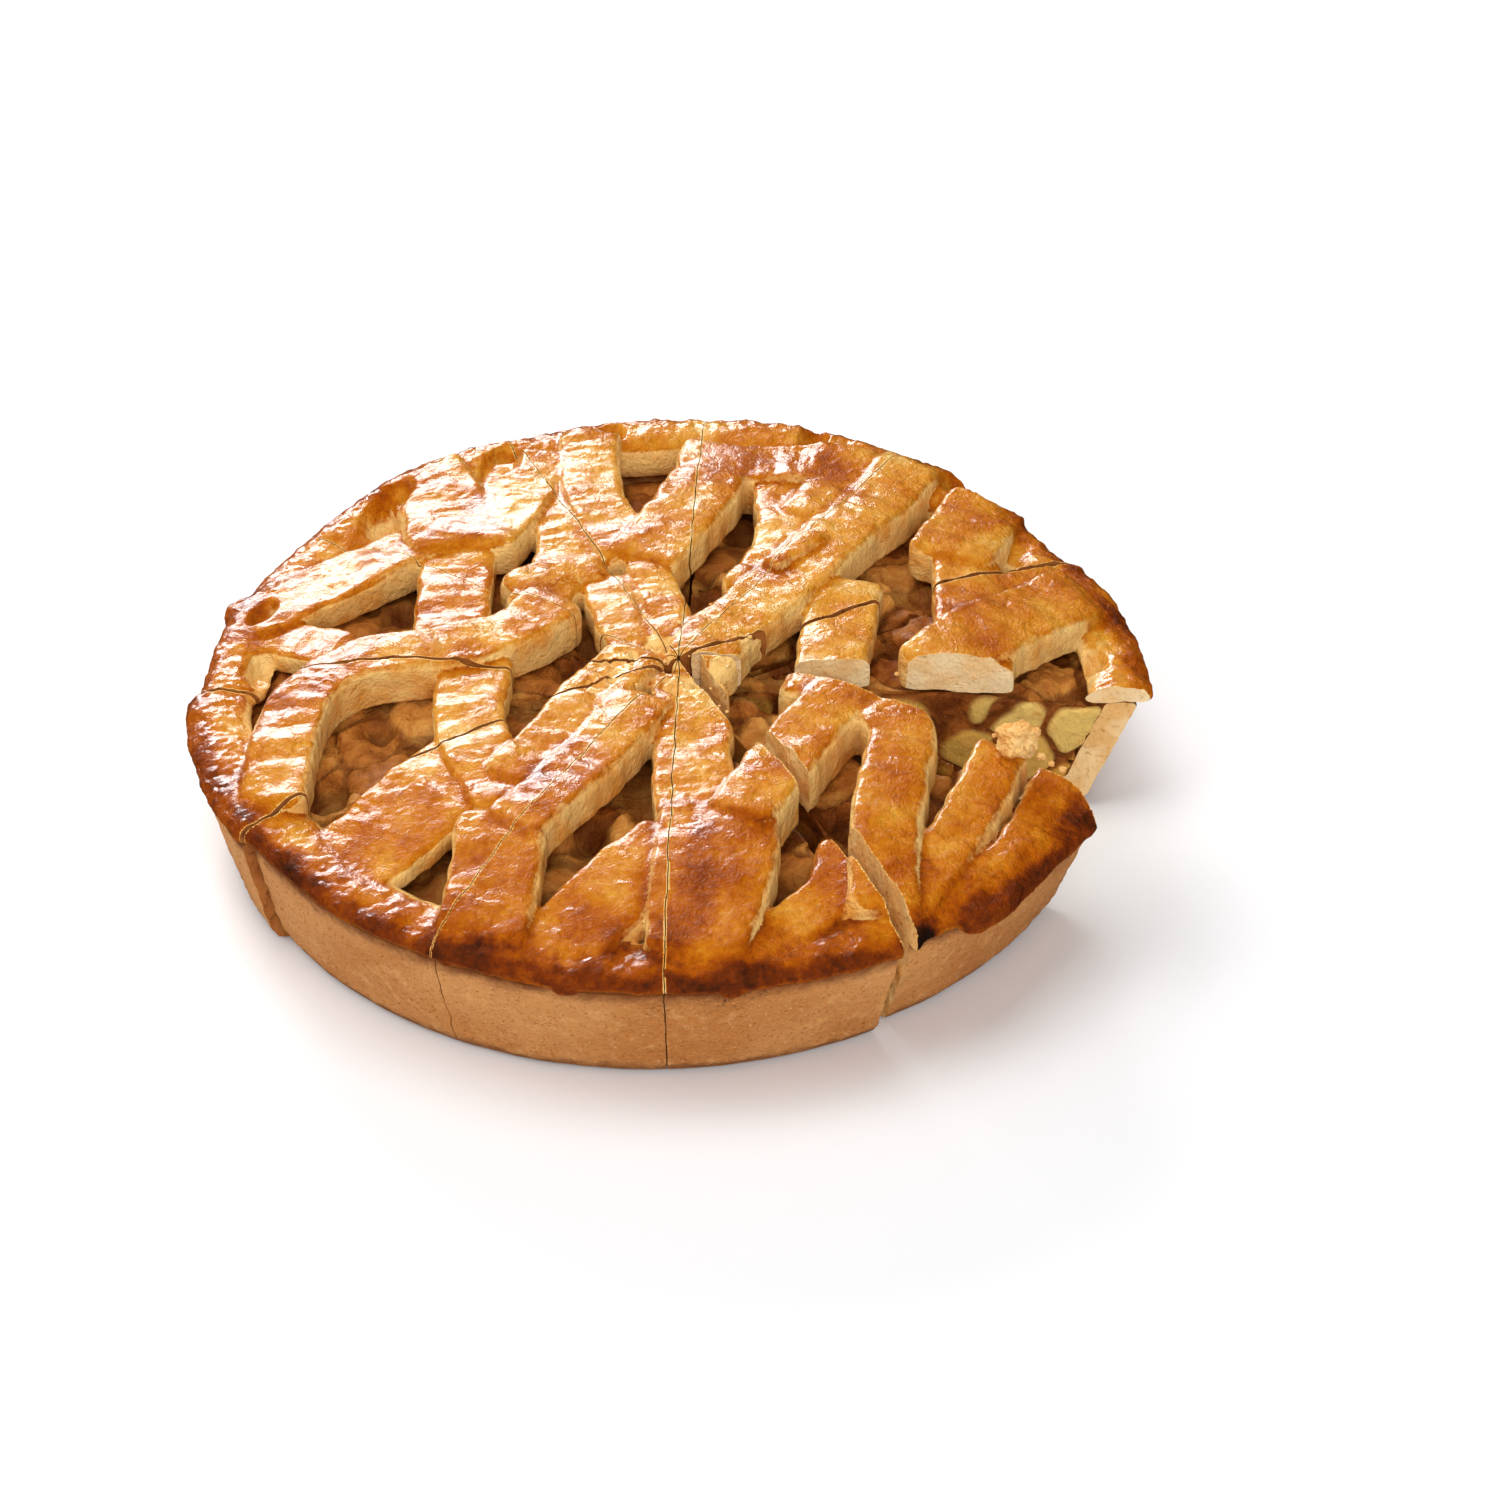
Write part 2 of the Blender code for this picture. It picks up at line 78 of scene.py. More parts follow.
# Where the knife went, and the slices that have slid
knife = {
    "centre": np.array((0.0025, -0.002)),
    "angles": (0.5, 30, 60, 87.5, 113.5, 145, 180, 209, 241, 269, 298, 333.5),
    "gap": 0.00032,
    "waviness": 0.00045,
    "crumbling": 0.00035,
    # Walls that can be seen, with the number of their finish; the others are tight against each other
    "openWalls": {1: {"start": 1}, 10: {"end": 3}, 11: {"start": 3, "end": 1}},
    "moved": {1: (0.0032, 0.0004), 7: (-0.0030, -0.0008), 11: (0.0030, 0.0050)},
    "tipClearance": 0.0008,
    "wornCorner": (np.array((0.1185, -0.0565)), np.array((-0.92, -0.39))),
    "reach": 0.2,
    "openStep": 0.0015,
    "tightStep": 0.0024,
}
sliceCount = len(knife["angles"]) - 1


# Small tools for numbers
def smoothStep(value):
    value = np.clip(value, 0, 1)
    return value * value * (3 - 2 * value)


gradients = np.random.default_rng(7).normal(size=(4096, 3))
gradients /= np.linalg.norm(gradients, axis=1)[:, None]
hashSteps = np.array((73856093, 19349663, 83492791))


def lumps(place, size, seed=0.0):  # soft noise of about -1 to 1, size metres from lump to lump
    place = np.asarray(place, float) / size + seed * 17.31
    cell = np.floor(place).astype(np.int64)
    part = place - cell
    fade = part ** 3 * (part * (part * 6 - 15) + 10)
    total = np.zeros(len(place))
    for corner in itertools.product((0, 1), repeat=3):
        key = (cell + corner) @ hashSteps % len(gradients)
        weight = np.prod(np.where(np.array(corner, bool), fade, 1 - fade), axis=1)
        total += weight * np.einsum("ij,ij->i", gradients[key], part - corner)
    return total * 1.7


def crags(place, size, octaves, seed=0.0):  # several sizes of lumps at once
    total = np.zeros(len(place))
    for octave in range(octaves):
        total += lumps(place, size / 2 ** octave, seed + octave) / 1.8 ** octave
    return total


def solidNoise(x, y, size, seed):  # the same unevenness that the solids have
    return noise.noise(Vector((x / size, y / size, seed)))


# Small tools for meshes
def onlySelect(item):
    bpy.ops.object.select_all(action="DESELECT")
    item.select_set(True)
    bpy.context.view_layer.objects.active = item


def getPoints(item):
    points = np.empty(len(item.data.vertices) * 3)
    item.data.vertices.foreach_get("co", points)
    return points.reshape(-1, 3)


def setPoints(item, points):
    item.data.vertices.foreach_set("co", np.ascontiguousarray(points, float).ravel())
    item.data.update()


def getNormals(item):
    normals = np.empty(len(item.data.vertices) * 3, np.float32)
    item.data.vertex_normals.foreach_get("vector", normals)
    return normals.reshape(-1, 3).astype(float)


def paint(item, name, values):  # keeps one number for each point, for the material to read
    layer = item.data.attributes.get(name) or item.data.attributes.new(name, "FLOAT", "POINT")
    layer.data.foreach_set("value", np.ascontiguousarray(values, np.float32))


def applyModifier(item, kind, **settings):
    onlySelect(item)
    step = item.modifiers.new(kind.lower(), kind)
    for name, value in settings.items():
        setattr(step, name, value)
    bpy.ops.object.modifier_apply(modifier=step.name)


def closeMesh(item):  # merges the seam, fills open ends and turns all faces outwards
    onlySelect(item)
    bpy.ops.object.mode_set(mode="EDIT")
    bpy.ops.mesh.select_all(action="SELECT")
    bpy.ops.mesh.remove_doubles(threshold=1e-6)
    bpy.ops.mesh.select_all(action="DESELECT")
    bpy.ops.mesh.select_mode(type="EDGE")
    bpy.ops.mesh.select_non_manifold(use_multi_face=False, use_verts=False)
    bpy.ops.mesh.edge_face_add()
    bpy.ops.mesh.select_all(action="SELECT")
    bpy.ops.mesh.normals_make_consistent(inside=False)
    bpy.ops.object.mode_set(mode="OBJECT")


def smoothShade(item, degrees=38):
    onlySelect(item)
    bpy.ops.object.shade_smooth_by_angle(angle=math.radians(degrees))


# The pie's form as functions of a place
def rimReach(turn):
    y = pie["rimRadius"] * np.sin(turn)
    bulge = pie["sideBulge"] * smoothStep(1 + y / 0.090)
    return pie["rimRadius"] + bulge + pie["backBulge"] * backShare(y)


def backShare(y):
    return smoothStep((y - 0.060) / 0.070)


def crownAt(x, y):  # level in the middle, falling to the rim
    reachHere = rimReach(np.arctan2(y, x))
    out = (np.hypot(x, y) - pie["crownRadius"]) / (reachHere - pie["crownRadius"])
    rimTop = pie["rimHeight"] + pie["backRise"] * backShare(y)
    return pie["crownHeight"] + (rimTop - pie["crownHeight"]) * smoothStep(out)


def bedAt(x, y):  # what the strips lie on
    edge = np.array((pie["crownRadius"] + 0.002, 0.124))
    return np.interp(np.hypot(x, y), edge, (pie["bedHeight"], pie["seamHeight"] + 0.0003))


def rimDepth(x, y):  # 0 inside the rim's band, 1 at its outer edge
    reachHere = rimReach(np.arctan2(y, x))
    return np.clip(1 - (reachHere - np.hypot(x, y)) / pie["rimWidth"], 0, 1)


def sliceShift(number):
    return np.array(knife["moved"].get(number, (0, 0)), float)


def sliceAt(x, y):  # number of the slice that a place belongs to, 12 in the gap
    turn = np.degrees(np.arctan2(y - knife["centre"][1], x - knife["centre"][0])) % 360
    return np.searchsorted(np.array(knife["angles"]), turn)


# Node tools for the materials
def rgb(red, green, blue):  # screen colour to the linear colour that a shader takes
    shares = np.array((red, green, blue)) / 255
    linear = np.where(shares <= 0.04045, shares / 12.92, ((shares + 0.055) / 1.055) ** 2.4)
    return (*linear, 1)


def newFinish(name, **sockets):
    finish = bpy.data.materials.new(name)
    finish.use_nodes = True
    shader = finish.node_tree.nodes["Principled BSDF"]
    for socket, value in sockets.items():
        shader.inputs[socket.replace("_", " ")].default_value = value
    return finish, finish.node_tree, shader


def feed(tree, socket, value):
    if hasattr(value, "is_output"):
        tree.links.new(value, socket)
    else:
        socket.default_value = value


def objectPlace(tree):
    return tree.nodes.new("ShaderNodeTexCoord").outputs["Object"]


def painted(tree, name):
    node = tree.nodes.new("ShaderNodeAttribute")
    node.attribute_name = name
    return node.outputs["Fac"]


def noiseValue(tree, place, scale, detail=3.0, roughness=0.55, distortion=0.0):
    node = tree.nodes.new("ShaderNodeTexNoise")
    feed(tree, node.inputs["Vector"], place)
    node.inputs["Scale"].default_value = scale
    node.inputs["Detail"].default_value = detail
    node.inputs["Roughness"].default_value = roughness
    node.inputs["Distortion"].default_value = distortion
    return node.outputs["Fac"]


def noiseColour(tree, place, scale):
    node = tree.nodes.new("ShaderNodeTexNoise")
    feed(tree, node.inputs["Vector"], place)
    node.inputs["Scale"].default_value = scale
    return node.outputs["Color"]


def heightOf(tree, place):
    node = tree.nodes.new("ShaderNodeSeparateXYZ")
    tree.links.new(place, node.inputs["Vector"])
    return node.outputs["Z"]


def fitRange(tree, value, low, high, toLow=0.0, toHigh=1.0):
    node = tree.nodes.new("ShaderNodeMapRange")
    node.interpolation_type = "SMOOTHSTEP"
    feed(tree, node.inputs["Value"], value)
    for socket, number in zip(("From Min", "From Max", "To Min", "To Max"), (low, high, toLow, toHigh)):
        node.inputs[socket].default_value = number
    return node.outputs["Result"]


def calculate(tree, operation, first, second=0.0, third=0.0):
    node = tree.nodes.new("ShaderNodeMath")
    node.operation = operation
    for socket, value in zip(node.inputs, (first, second, third)):
        feed(tree, socket, value)
    return node.outputs["Value"]


def unevenHeight(tree, place, pattern):  # a place's height, up to 5 mm out where the pattern says
    offset = calculate(tree, "SUBTRACT", pattern, 0.5)
    return calculate(tree, "MULTIPLY_ADD", offset, 0.010, heightOf(tree, place))


def mixColour(tree, share, first, second, blend="MIX"):
    node = tree.nodes.new("ShaderNodeMix")
    node.data_type = "RGBA"
    node.blend_type = blend
    feed(tree, node.inputs[0], share)
    feed(tree, node.inputs[6], first)
    feed(tree, node.inputs[7], second)
    return node.outputs[2]


def colourSteps(tree, value, steps):
    node = tree.nodes.new("ShaderNodeValToRGB")
    feed(tree, node.inputs["Fac"], value)
    elements = node.color_ramp.elements
    while len(elements) < len(steps):
        elements.new(0.5)
    for element, (position, colour) in zip(elements, steps):
        element.position = position
        element.color = colour
    return node.outputs["Color"]


def addBump(tree, shader, height, distance, socket="Normal"):
    node = tree.nodes.new("ShaderNodeBump")
    feed(tree, node.inputs["Height"], height)
    node.inputs["Distance"].default_value = distance
    tree.links.new(node.outputs["Normal"], shader.inputs[socket])


# Glazed dough: egg wash on top, pale sides, and browning to black at the rim
glazeLook = {
    "side": rgb(248, 204, 126),
    "sideBrown": rgb(234, 160, 70),
    "bakedSide": rgb(132, 66, 24),
    "steps": (
        (0.00, rgb(242, 200, 122)),
        (0.18, rgb(222, 152, 48)),
        (0.36, rgb(200, 114, 14)),
        (0.52, rgb(172, 82, 4)),
        (0.70, rgb(124, 50, 8)),
        (0.86, rgb(76, 32, 12)),
        (1.00, rgb(36, 20, 12)),
    ),
}


def makeGlazedDough():
    finish, tree, shader = newFinish(
        "glazedDough", Coat_Weight=0.90, Coat_Roughness=0.11, Specular_IOR_Level=0.08
    )
    place = objectPlace(tree)
    bakeAndShade = painted(tree, "bakeAndShade")
    glaze = painted(tree, "glaze")
    blotch = noiseValue(tree, place, 70, 4, 0.6)
    grain = noiseValue(tree, place, 420, 4, 0.65)
    crumple = noiseValue(tree, place, 300, 4, 0.65, 0.5)
    fine = noiseValue(tree, place, 1200, 2, 0.6)
    unevenBakeAndShade = bakeAndShade
    for pattern, amount in ((blotch, 0.50), (grain, 0.34), (crumple, 0.26)):
        offset = calculate(tree, "SUBTRACT", pattern, 0.5)
        unevenBakeAndShade = calculate(tree, "MULTIPLY_ADD", offset, amount, unevenBakeAndShade)
    top = colourSteps(tree, unevenBakeAndShade, glazeLook["steps"])
    side = mixColour(tree, fitRange(tree, blotch, 0.4, 0.7), glazeLook["side"], glazeLook["sideBrown"])
    side = mixColour(tree, fitRange(tree, bakeAndShade, 0.64, 0.88), side, glazeLook["bakedSide"])
    share = calculate(tree, "MULTIPLY_ADD", calculate(tree, "SUBTRACT", grain, 0.5), 0.5, glaze)
    colour = mixColour(tree, fitRange(tree, share, 0.30, 0.72), side, top)
    tree.links.new(colour, shader.inputs["Base Color"])
    rough = fitRange(tree, grain, 0.35, 0.7, 0.28, 0.46)
    rough = calculate(tree, "MULTIPLY_ADD", fitRange(tree, glaze, 0.3, 0.8, 1, 0), 0.3, rough)
    tree.links.new(rough, shader.inputs["Roughness"])
    height = calculate(tree, "MULTIPLY_ADD", crumple, 1.1, calculate(tree, "MULTIPLY", grain, 0.9))
    height = calculate(tree, "MULTIPLY_ADD", fine, 0.4, height)
    addBump(tree, shader, height, 0.0014)
    addBump(tree, shader, crumple, 0.00040, "Coat Normal")
    return finish


# Cut dough: the porous crumb that the knife leaves
def makeCrumbFinish(name, pale, golden, pores):
    finish, tree, shader = newFinish(name, Roughness=0.82, Specular_IOR_Level=0.2)
    place = objectPlace(tree)
    grain = noiseValue(tree, place, 520, 5, 0.7)
    patch = noiseValue(tree, place, 110, 3, 0.5)
    colour = mixColour(tree, fitRange(tree, patch, 0.35, 0.7), pale, golden)
    colour = mixColour(tree, fitRange(tree, grain, 0.52, 0.72), colour, pores)
    tree.links.new(colour, shader.inputs["Base Color"])
    layers = noiseValue(tree, place, 240, 3, 0.6)
    addBump(tree, shader, calculate(tree, "MULTIPLY_ADD", layers, 1.2, grain), 0.0012)
    return finish


# Shortcrust wall: sandy, matt and finely cracked
shortcrustLook = {
    "sand": rgb(216, 150, 86),
    "golden": rgb(198, 126, 62),
    "pale": rgb(226, 166, 102),
    "grain": rgb(168, 98, 42),
    "speck": rgb(234, 184, 124),
    "seam": rgb(140, 80, 36),
    "foot": rgb(158, 98, 50),
    "crack": rgb(112, 62, 28),
}


def makeShortcrust():
    finish, tree, shader = newFinish("sandyShortcrust", Specular_IOR_Level=0.25)
    place = objectPlace(tree)
    patch = noiseValue(tree, place, 26, 4, 0.55)
    mottle = noiseValue(tree, place, 190, 4, 0.6)
    grain = noiseValue(tree, place, 850, 3, 0.7)
    speck = noiseValue(tree, place, 1300, 2, 0.6)
    look = shortcrustLook
    colour = mixColour(tree, fitRange(tree, patch, 0.35, 0.68), look["sand"], look["golden"])
    colour = mixColour(tree, fitRange(tree, mottle, 0.50, 0.80), colour, look["pale"])
    colour = mixColour(tree, fitRange(tree, grain, 0.54, 0.70), colour, look["grain"])
    colour = mixColour(tree, fitRange(tree, speck, 0.62, 0.74), colour, look["speck"])
    # darker in an uneven band just under the rim, and darker towards the foot
    seam = unevenHeight(tree, place, mottle)
    colour = mixColour(tree, fitRange(tree, seam, 0.0310, 0.0375), colour, look["seam"])
    colour = mixColour(tree, fitRange(tree, seam, 0.0060, 0.0010), colour, look["foot"])
    cracks = tree.nodes.new("ShaderNodeTexVoronoi")
    cracks.feature = "DISTANCE_TO_EDGE"
    cracks.inputs["Scale"].default_value = 120
    bent = mixColour(tree, 0.06, place, noiseColour(tree, place, 160))
    tree.links.new(bent, cracks.inputs["Vector"])
    line = fitRange(tree, cracks.outputs["Distance"], 0.0, 0.035, 1, 0)
    line = calculate(tree, "MULTIPLY", line, fitRange(tree, patch, 0.56, 0.70))
    line = calculate(tree, "MULTIPLY", line, fitRange(tree, heightOf(tree, place), 0.026, 0.036))
    colour = mixColour(tree, calculate(tree, "MULTIPLY", line, 0.8), colour, look["crack"])
    tree.links.new(colour, shader.inputs["Base Color"])
    tree.links.new(fitRange(tree, grain, 0.3, 0.7, 0.66, 0.9), shader.inputs["Roughness"])
    height = calculate(tree, "MULTIPLY_ADD", mottle, 0.8, calculate(tree, "MULTIPLY", grain, 0.7))
    height = calculate(tree, "MULTIPLY_ADD", line, -1.2, height)
    addBump(tree, shader, height, 0.0018)
    return finish


# Fruit filling: moist brown jelly round pale chunks
fillingLook = {
    "coated": (
        (0.26, rgb(80, 36, 10)),
        (0.40, rgb(142, 74, 24)),
        (0.58, rgb(190, 118, 48)),
        (0.80, rgb(226, 166, 82)),
    ),
    # painted shade for the crevices and hollows between chunks
    "creviceShade": rgb(66, 28, 8),
    "flesh": (
        (0.0, rgb(222, 176, 78)),
        (0.4, rgb(240, 204, 118)),
        (0.7, rgb(214, 160, 62)),
        (1.0, rgb(202, 134, 52)),
    ),
    "fleshStain": rgb(204, 142, 62),
    "jelly": (rgb(108, 52, 14), rgb(166, 94, 36)),
    "jellyBand": (0.0375, 0.0410),
}


def makeFilling():
    finish, tree, shader = newFinish(
        "cinnamonFilling", Coat_Weight=0.25, Coat_Roughness=0.25, Specular_IOR_Level=0.2
    )
    place = objectPlace(tree)
    chunk = painted(tree, "chunk")
    tone = painted(tree, "tone")
    cut = painted(tree, "cut")
    mottle = noiseValue(tree, place, 130, 6, 0.7, 0.8)
    grain = noiseValue(tree, place, 620, 3, 0.6)
    paleness = calculate(tree, "MULTIPLY_ADD", mottle, 0.75, calculate(tree, "MULTIPLY", tone, 0.3))
    coated = colourSteps(tree, paleness, fillingLook["coated"])
    # painted shade: the top darkens where there is no chunk, in the crevices and hollows
    coated = mixColour(tree, fitRange(tree, chunk, 0.45, 0.0, 0.0, 0.50), coated, fillingLook["creviceShade"])
    flesh = colourSteps(tree, tone, fillingLook["flesh"])
    flesh = mixColour(tree, fitRange(tree, mottle, 0.50, 0.80), flesh, fillingLook["fleshStain"])
    darkJelly, paleJelly = fillingLook["jelly"]
    jelly = mixColour(tree, fitRange(tree, mottle, 0.35, 0.65), darkJelly, paleJelly)
    inside = mixColour(tree, fitRange(tree, chunk, 0.10, 0.90), jelly, flesh)
    band = unevenHeight(tree, place, mottle)
    inside = mixColour(tree, fitRange(tree, band, *fillingLook["jellyBand"], 0, 0.85), inside, jelly)
    colour = mixColour(tree, fitRange(tree, cut, 0.3, 0.7), coated, inside)
    tree.links.new(colour, shader.inputs["Base Color"])
    tree.links.new(fitRange(tree, grain, 0.3, 0.7, 0.30, 0.55), shader.inputs["Roughness"])
    height = calculate(tree, "MULTIPLY_ADD", mottle, 1.4, calculate(tree, "MULTIPLY", grain, 0.5))
    addBump(tree, shader, height, 0.0016)
    addBump(tree, shader, height, 0.0005, "Coat Normal")
    return finish


glazedDough = makeGlazedDough()
cutDough = makeCrumbFinish("cutDough", rgb(255, 228, 180), rgb(252, 210, 150), rgb(236, 178, 110))
shellCrumb = makeCrumbFinish("shellCrumb", rgb(252, 214, 156), rgb(240, 186, 116), rgb(212, 144, 76))
# painted shade: the tight knife cuts between slices get a dark cut-dough finish so that they show as dark
# lines
kerfShadeDough = makeCrumbFinish("kerfShadeDough", rgb(186, 116, 56), rgb(156, 88, 38), rgb(108, 54, 20))
toastedCrumb = makeCrumbFinish("toastedCrumb", rgb(255, 212, 140), rgb(240, 174, 92), rgb(200, 120, 54))
cutFinishes = (cutDough, kerfShadeDough, toastedCrumb)  # an open wall's finish has number 1 to 3
tightWall = 2
sandyShortcrust = makeShortcrust()
cinnamonFilling = makeFilling()
print("finishes ready")

# Dough strips as (width, lift over the crown, route) in millimetres from the pie's middle
strips = {
    "stationStep": 0.0016,
    "aroundPoints": 36,
    "edgeRadius": 0.0020,
    "pillow": 0.0005,
    "sideBelly": 0.03,
    "liftGain": 1.9,
    "sag": 0.0011,
    "sunkInBed": 0.0010,
    "raggedness": 0.0007,
    "endLength": 0.0045,
    "endTaper": 0.30,
    "endDrop": 0.0026,
    "rimClearance": 0.0050,
    "dropInRim": 0.0010,
    "swell": 0.0006,
    "leastHeight": 0.006,
    "routes": (
        (28, 1.6, ((-86, 116), (-74, 92), (-67, 62))),
        (24, 1.2, ((-47, 117), (-50, 90), (-60, 62))),
        (22, -0.6, ((-66, 66), (-66, 38), (-66, 10))),
        (24, 0.0, ((-130, 34), (-105, 50), (-84, 64), (-66, 74))),
        (17, -1.4, ((-130, 32), (-112, 22), (-98, 14))),
        (20, 1.4, (
            (-112, -62), (-111, -32), (-106, -12), (-93, 0), (-75, 3), (-58, 9), (-44, 18), (-34, 30),
        )),
        (21, -0.4, ((-57, 4), (-58, -25), (-53, -45), (-44, -66))),
        (18, 0.3, ((-37, 92), (-33, 66), (-35, 46), (-42, 28))),
        (14, 0.9, ((-48, 38), (-36, 46), (-22, 50))),
        (15, -0.2, ((-21, 46), (-16, 24), (-8, 2))),
        (32, -1.6, ((-104, -98), (-84, -78), (-68, -60), (-54, -44))),
        (20, 1.0, ((-10, 4), (-20, -14), (-31, -36), (-44, -58))),
        (19, 1.6, ((-7, -20), (-18, -42), (-30, -62), (-44, -82))),
        (25, 1.0, ((-46, -74), (-47, -98), (-52, -126))),
        (26, 0.0, ((-34, -128), (-14, -104), (4, -84))),
        (22, 0.2, ((5, -6), (7, -30), (7, -50), (8, -76))),
        (24, 1.5, ((20, -72), (18, -98), (9, -128))),
        (18, 1.2, ((7, -71), (5, -98), (4, -126))),
        (20, 2.6, ((20, -78), (31, -56), (41, -36), (58, -10))),
        (20, 2.4, ((36, -12), (56, -20), (66, -37), (64, -58), (61, -80), (60, -110))),
        (16, -0.2, ((14, -130), (36, -113), (47, -100), (50, -84))),
        (16, 1.0, ((62, -112), (78, -84), (87, -64), (96, -40))),
        (16, 0.2, ((82, -106), (98, -82), (107, -62), (114, -44))),
        (19, 1.0, ((-28, 128), (-27, 103), (-24, 84), (-14, 56))),
        (24, 1.4, ((15, 120), (8, 92), (0, 72), (-10, 52))),
        (14, 0.2, ((-10, 58), (-4, 36), (2, 10))),
        (22, 1.2, ((8, 108), (35, 109), (63, 108))),
        (18, 1.0, ((58, 117), (48, 95), (40, 76))),
        (18, 0.2, ((33, 101), (34, 78), (32, 60), (22, 38))),
        (8, 2.4, ((29, 46), (45, 61))),
        (22, 1.4, ((78, 118), (66, 93), (55, 74), (43, 54), (28, 32), (14, 12), (8, -4))),
        (21, 0.0, ((54, 42), (49, 18), (47, -8))),
        (22, -0.2, ((89, 68), (90, 44), (90, 22), (90, -2))),
        (26, 1.2, ((104, 100), (94, 84), (84, 58))),
        (12, -0.4, ((122, 70), (111, 58), (101, 45))),
        (26, 1.3, ((132, 50), (112, 34), (95, 18), (76, -4))),
    ),
}


def softRoute(route, step):  # points a step apart on the same curve that the solids follow
    knots = []
    for x, y in route:
        heldIn = min(1, (rimReach(math.atan2(y, x)) - strips["rimClearance"]) * 1000 / math.hypot(x, y))
        knots.append(np.array((x, y)) * heldIn / 1000)
    knots = [2 * knots[0] - knots[1], *knots, 2 * knots[-1] - knots[-2]]
    samples = []
    for before, start, end, after in zip(knots, knots[1:], knots[2:], knots[3:]):
        pieces = max(2, round(np.linalg.norm(end - start) / step))
        for t in np.arange(pieces) / pieces:
            bend = 2 * before - 5 * start + 4 * end - after
            twist = 3 * start - before - 3 * end + after
            samples.append(start + 0.5 * t * (end - before + t * (bend + t * twist)))
    samples.append(knots[-2])
    return np.array(samples)


def stationsOf(route):  # places, headings, sideways directions and distances along a strip
    places = softRoute(route, strips["stationStep"])
    heads = np.gradient(places, axis=0)
    for _ in range(3):
        heads[1:-1] = (heads[:-2] + 2 * heads[1:-1] + heads[2:]) / 4
    heads /= np.linalg.norm(heads, axis=1)[:, None]
    first = places[0] - heads[0] * 0.002
    last = places[-1] + heads[-1] * 0.002
    places = np.vstack((first, places, last))
    heads = np.vstack((heads[0], heads, heads[-1]))
    sides = np.column_stack((heads[:, 1], -heads[:, 0]))
    distances = np.concatenate(((0,), np.cumsum(np.linalg.norm(np.diff(places, axis=0), axis=1))))
    return places, heads, sides, distances


def roundedBox(share, halfWidth, height, edge):  # walks round a strip's section and back underneath
    rise = np.clip(share / 0.12, 0, 1)
    firstTurn = np.clip((share - 0.12) / 0.15, 0, 1) * math.pi / 2
    over = np.clip((share - 0.27) / 0.46, 0, 1)
    lastTurn = np.clip((share - 0.73) / 0.15, 0, 1) * math.pi / 2
    fall = np.clip((share - 0.88) / 0.08, 0, 1)
    under = np.clip((share - 0.96) / 0.04, 0, 1)
    x = (halfWidth - edge) * (1 - 2 * over) + edge * (np.cos(firstTurn) - np.sin(lastTurn))
    y = (height - edge) * rise * (1 - fall) + edge * np.sin(firstTurn) * np.cos(lastTurn)
    return x + 2 * halfWidth * under, y


stationBook = {"place": [], "head": [], "side": [], "distance": [], "halfWidth": [], "seed": []}


def rollStrip(number, width, lift, route):
    places, heads, sides, distances = stationsOf(route)
    count = len(places)
    bpy.ops.mesh.primitive_grid_add(
        x_subdivisions=strips["aroundPoints"], y_subdivisions=count - 1, size=1, location=(0, 0, 0)
    )
    strip = bpy.context.active_object
    strip.name = f"strip{number:02d}"
    flat = getPoints(strip)
    share = flat[:, 0] + 0.5
    station = np.rint((flat[:, 1] + 0.5) * (count - 1)).astype(int)
    full = np.array([1 + 0.07 * solidNoise(x, y, 0.02, 11.0 + number) for x, y in places])
    fromEnd = np.minimum(distances, distances[-1] - distances)
    rounding = np.clip(1 - fromEnd / strips["endLength"], 0, 1)
    halfWidth = width / 2000 * full * (1 - strips["endTaper"] * rounding ** 2)
    half = halfWidth[station]
    middle = places[station]
    top = crownAt(middle[:, 0], middle[:, 1])
    edge = np.minimum(strips["edgeRadius"], half * 0.45)
    height = np.maximum(top - bedAt(middle[:, 0], middle[:, 1]), strips["leastHeight"])
    offset, up = roundedBox(share, half, height, edge)
    upShare = up / height
    offset = offset * (1 + strips["sideBelly"] * np.sin(math.pi * np.clip(upShare, 0, 1)))
    ownSeed = np.full(len(half), number * 0.1)
    ragged = np.column_stack((distances[station], np.sign(offset) * 0.03, ownSeed))
    offset = offset + np.sign(offset) * strips["raggedness"] * lumps(ragged, 0.006)
    spot = middle + sides[station] * offset[:, None]
    inRim = smoothStep((rimDepth(spot[:, 0], spot[:, 1]) - 0.45) / 0.55)
    ownLift = lift / 1000 * strips["liftGain"]
    ownLift = ownLift * (1 - inRim) - strips["dropInRim"] * inRim
    crown = crownAt(spot[:, 0], spot[:, 1]) + ownLift
    crown += strips["swell"] * np.array([solidNoise(x, y, 0.018, 5.0) for x, y in spot])
    crown += strips["pillow"] * (1 - np.clip(offset / half, -1, 1) ** 2) * (1 - inRim)
    sagged = np.column_stack((spot, np.full(len(spot), number * 0.01)))
    crown += strips["sag"] * lumps(sagged, 0.024, 12) * (1 - inRim)
    crown -= strips["endDrop"] * rounding[station] ** 2
    bed = bedAt(spot[:, 0], spot[:, 1]) - strips["sunkInBed"]
    z = bed + (crown - bed) * upShare
    setPoints(strip, np.column_stack((spot, z)))
    closeMesh(strip)
    stationBook["place"].append(places)
    stationBook["head"].append(heads)
    stationBook["side"].append(sides)
    stationBook["distance"].append(distances)
    stationBook["halfWidth"].append(halfWidth)
    stationBook["seed"].append(np.full(count, number * 0.37))
    return strip


# The rim that the strips' ends melt into
rim = {
    "segments": 660,
    "aroundPoints": 34,
    "section": (
        (-0.0190, 0.0385),
        (-0.0190, 0.0408),
        (-0.0160, 0.0430),
        (-0.0100, 0.0444),
        (-0.0045, 0.0440),
        (-0.0010, 0.0420),
        (0.0, 0.0397),
        (-0.0016, 0.0378),
        (-0.0060, 0.0376),
        (-0.0140, 0.0376),
    ),
    "swell": 0.0016,
    "unevenEdge": 0.0010,
}


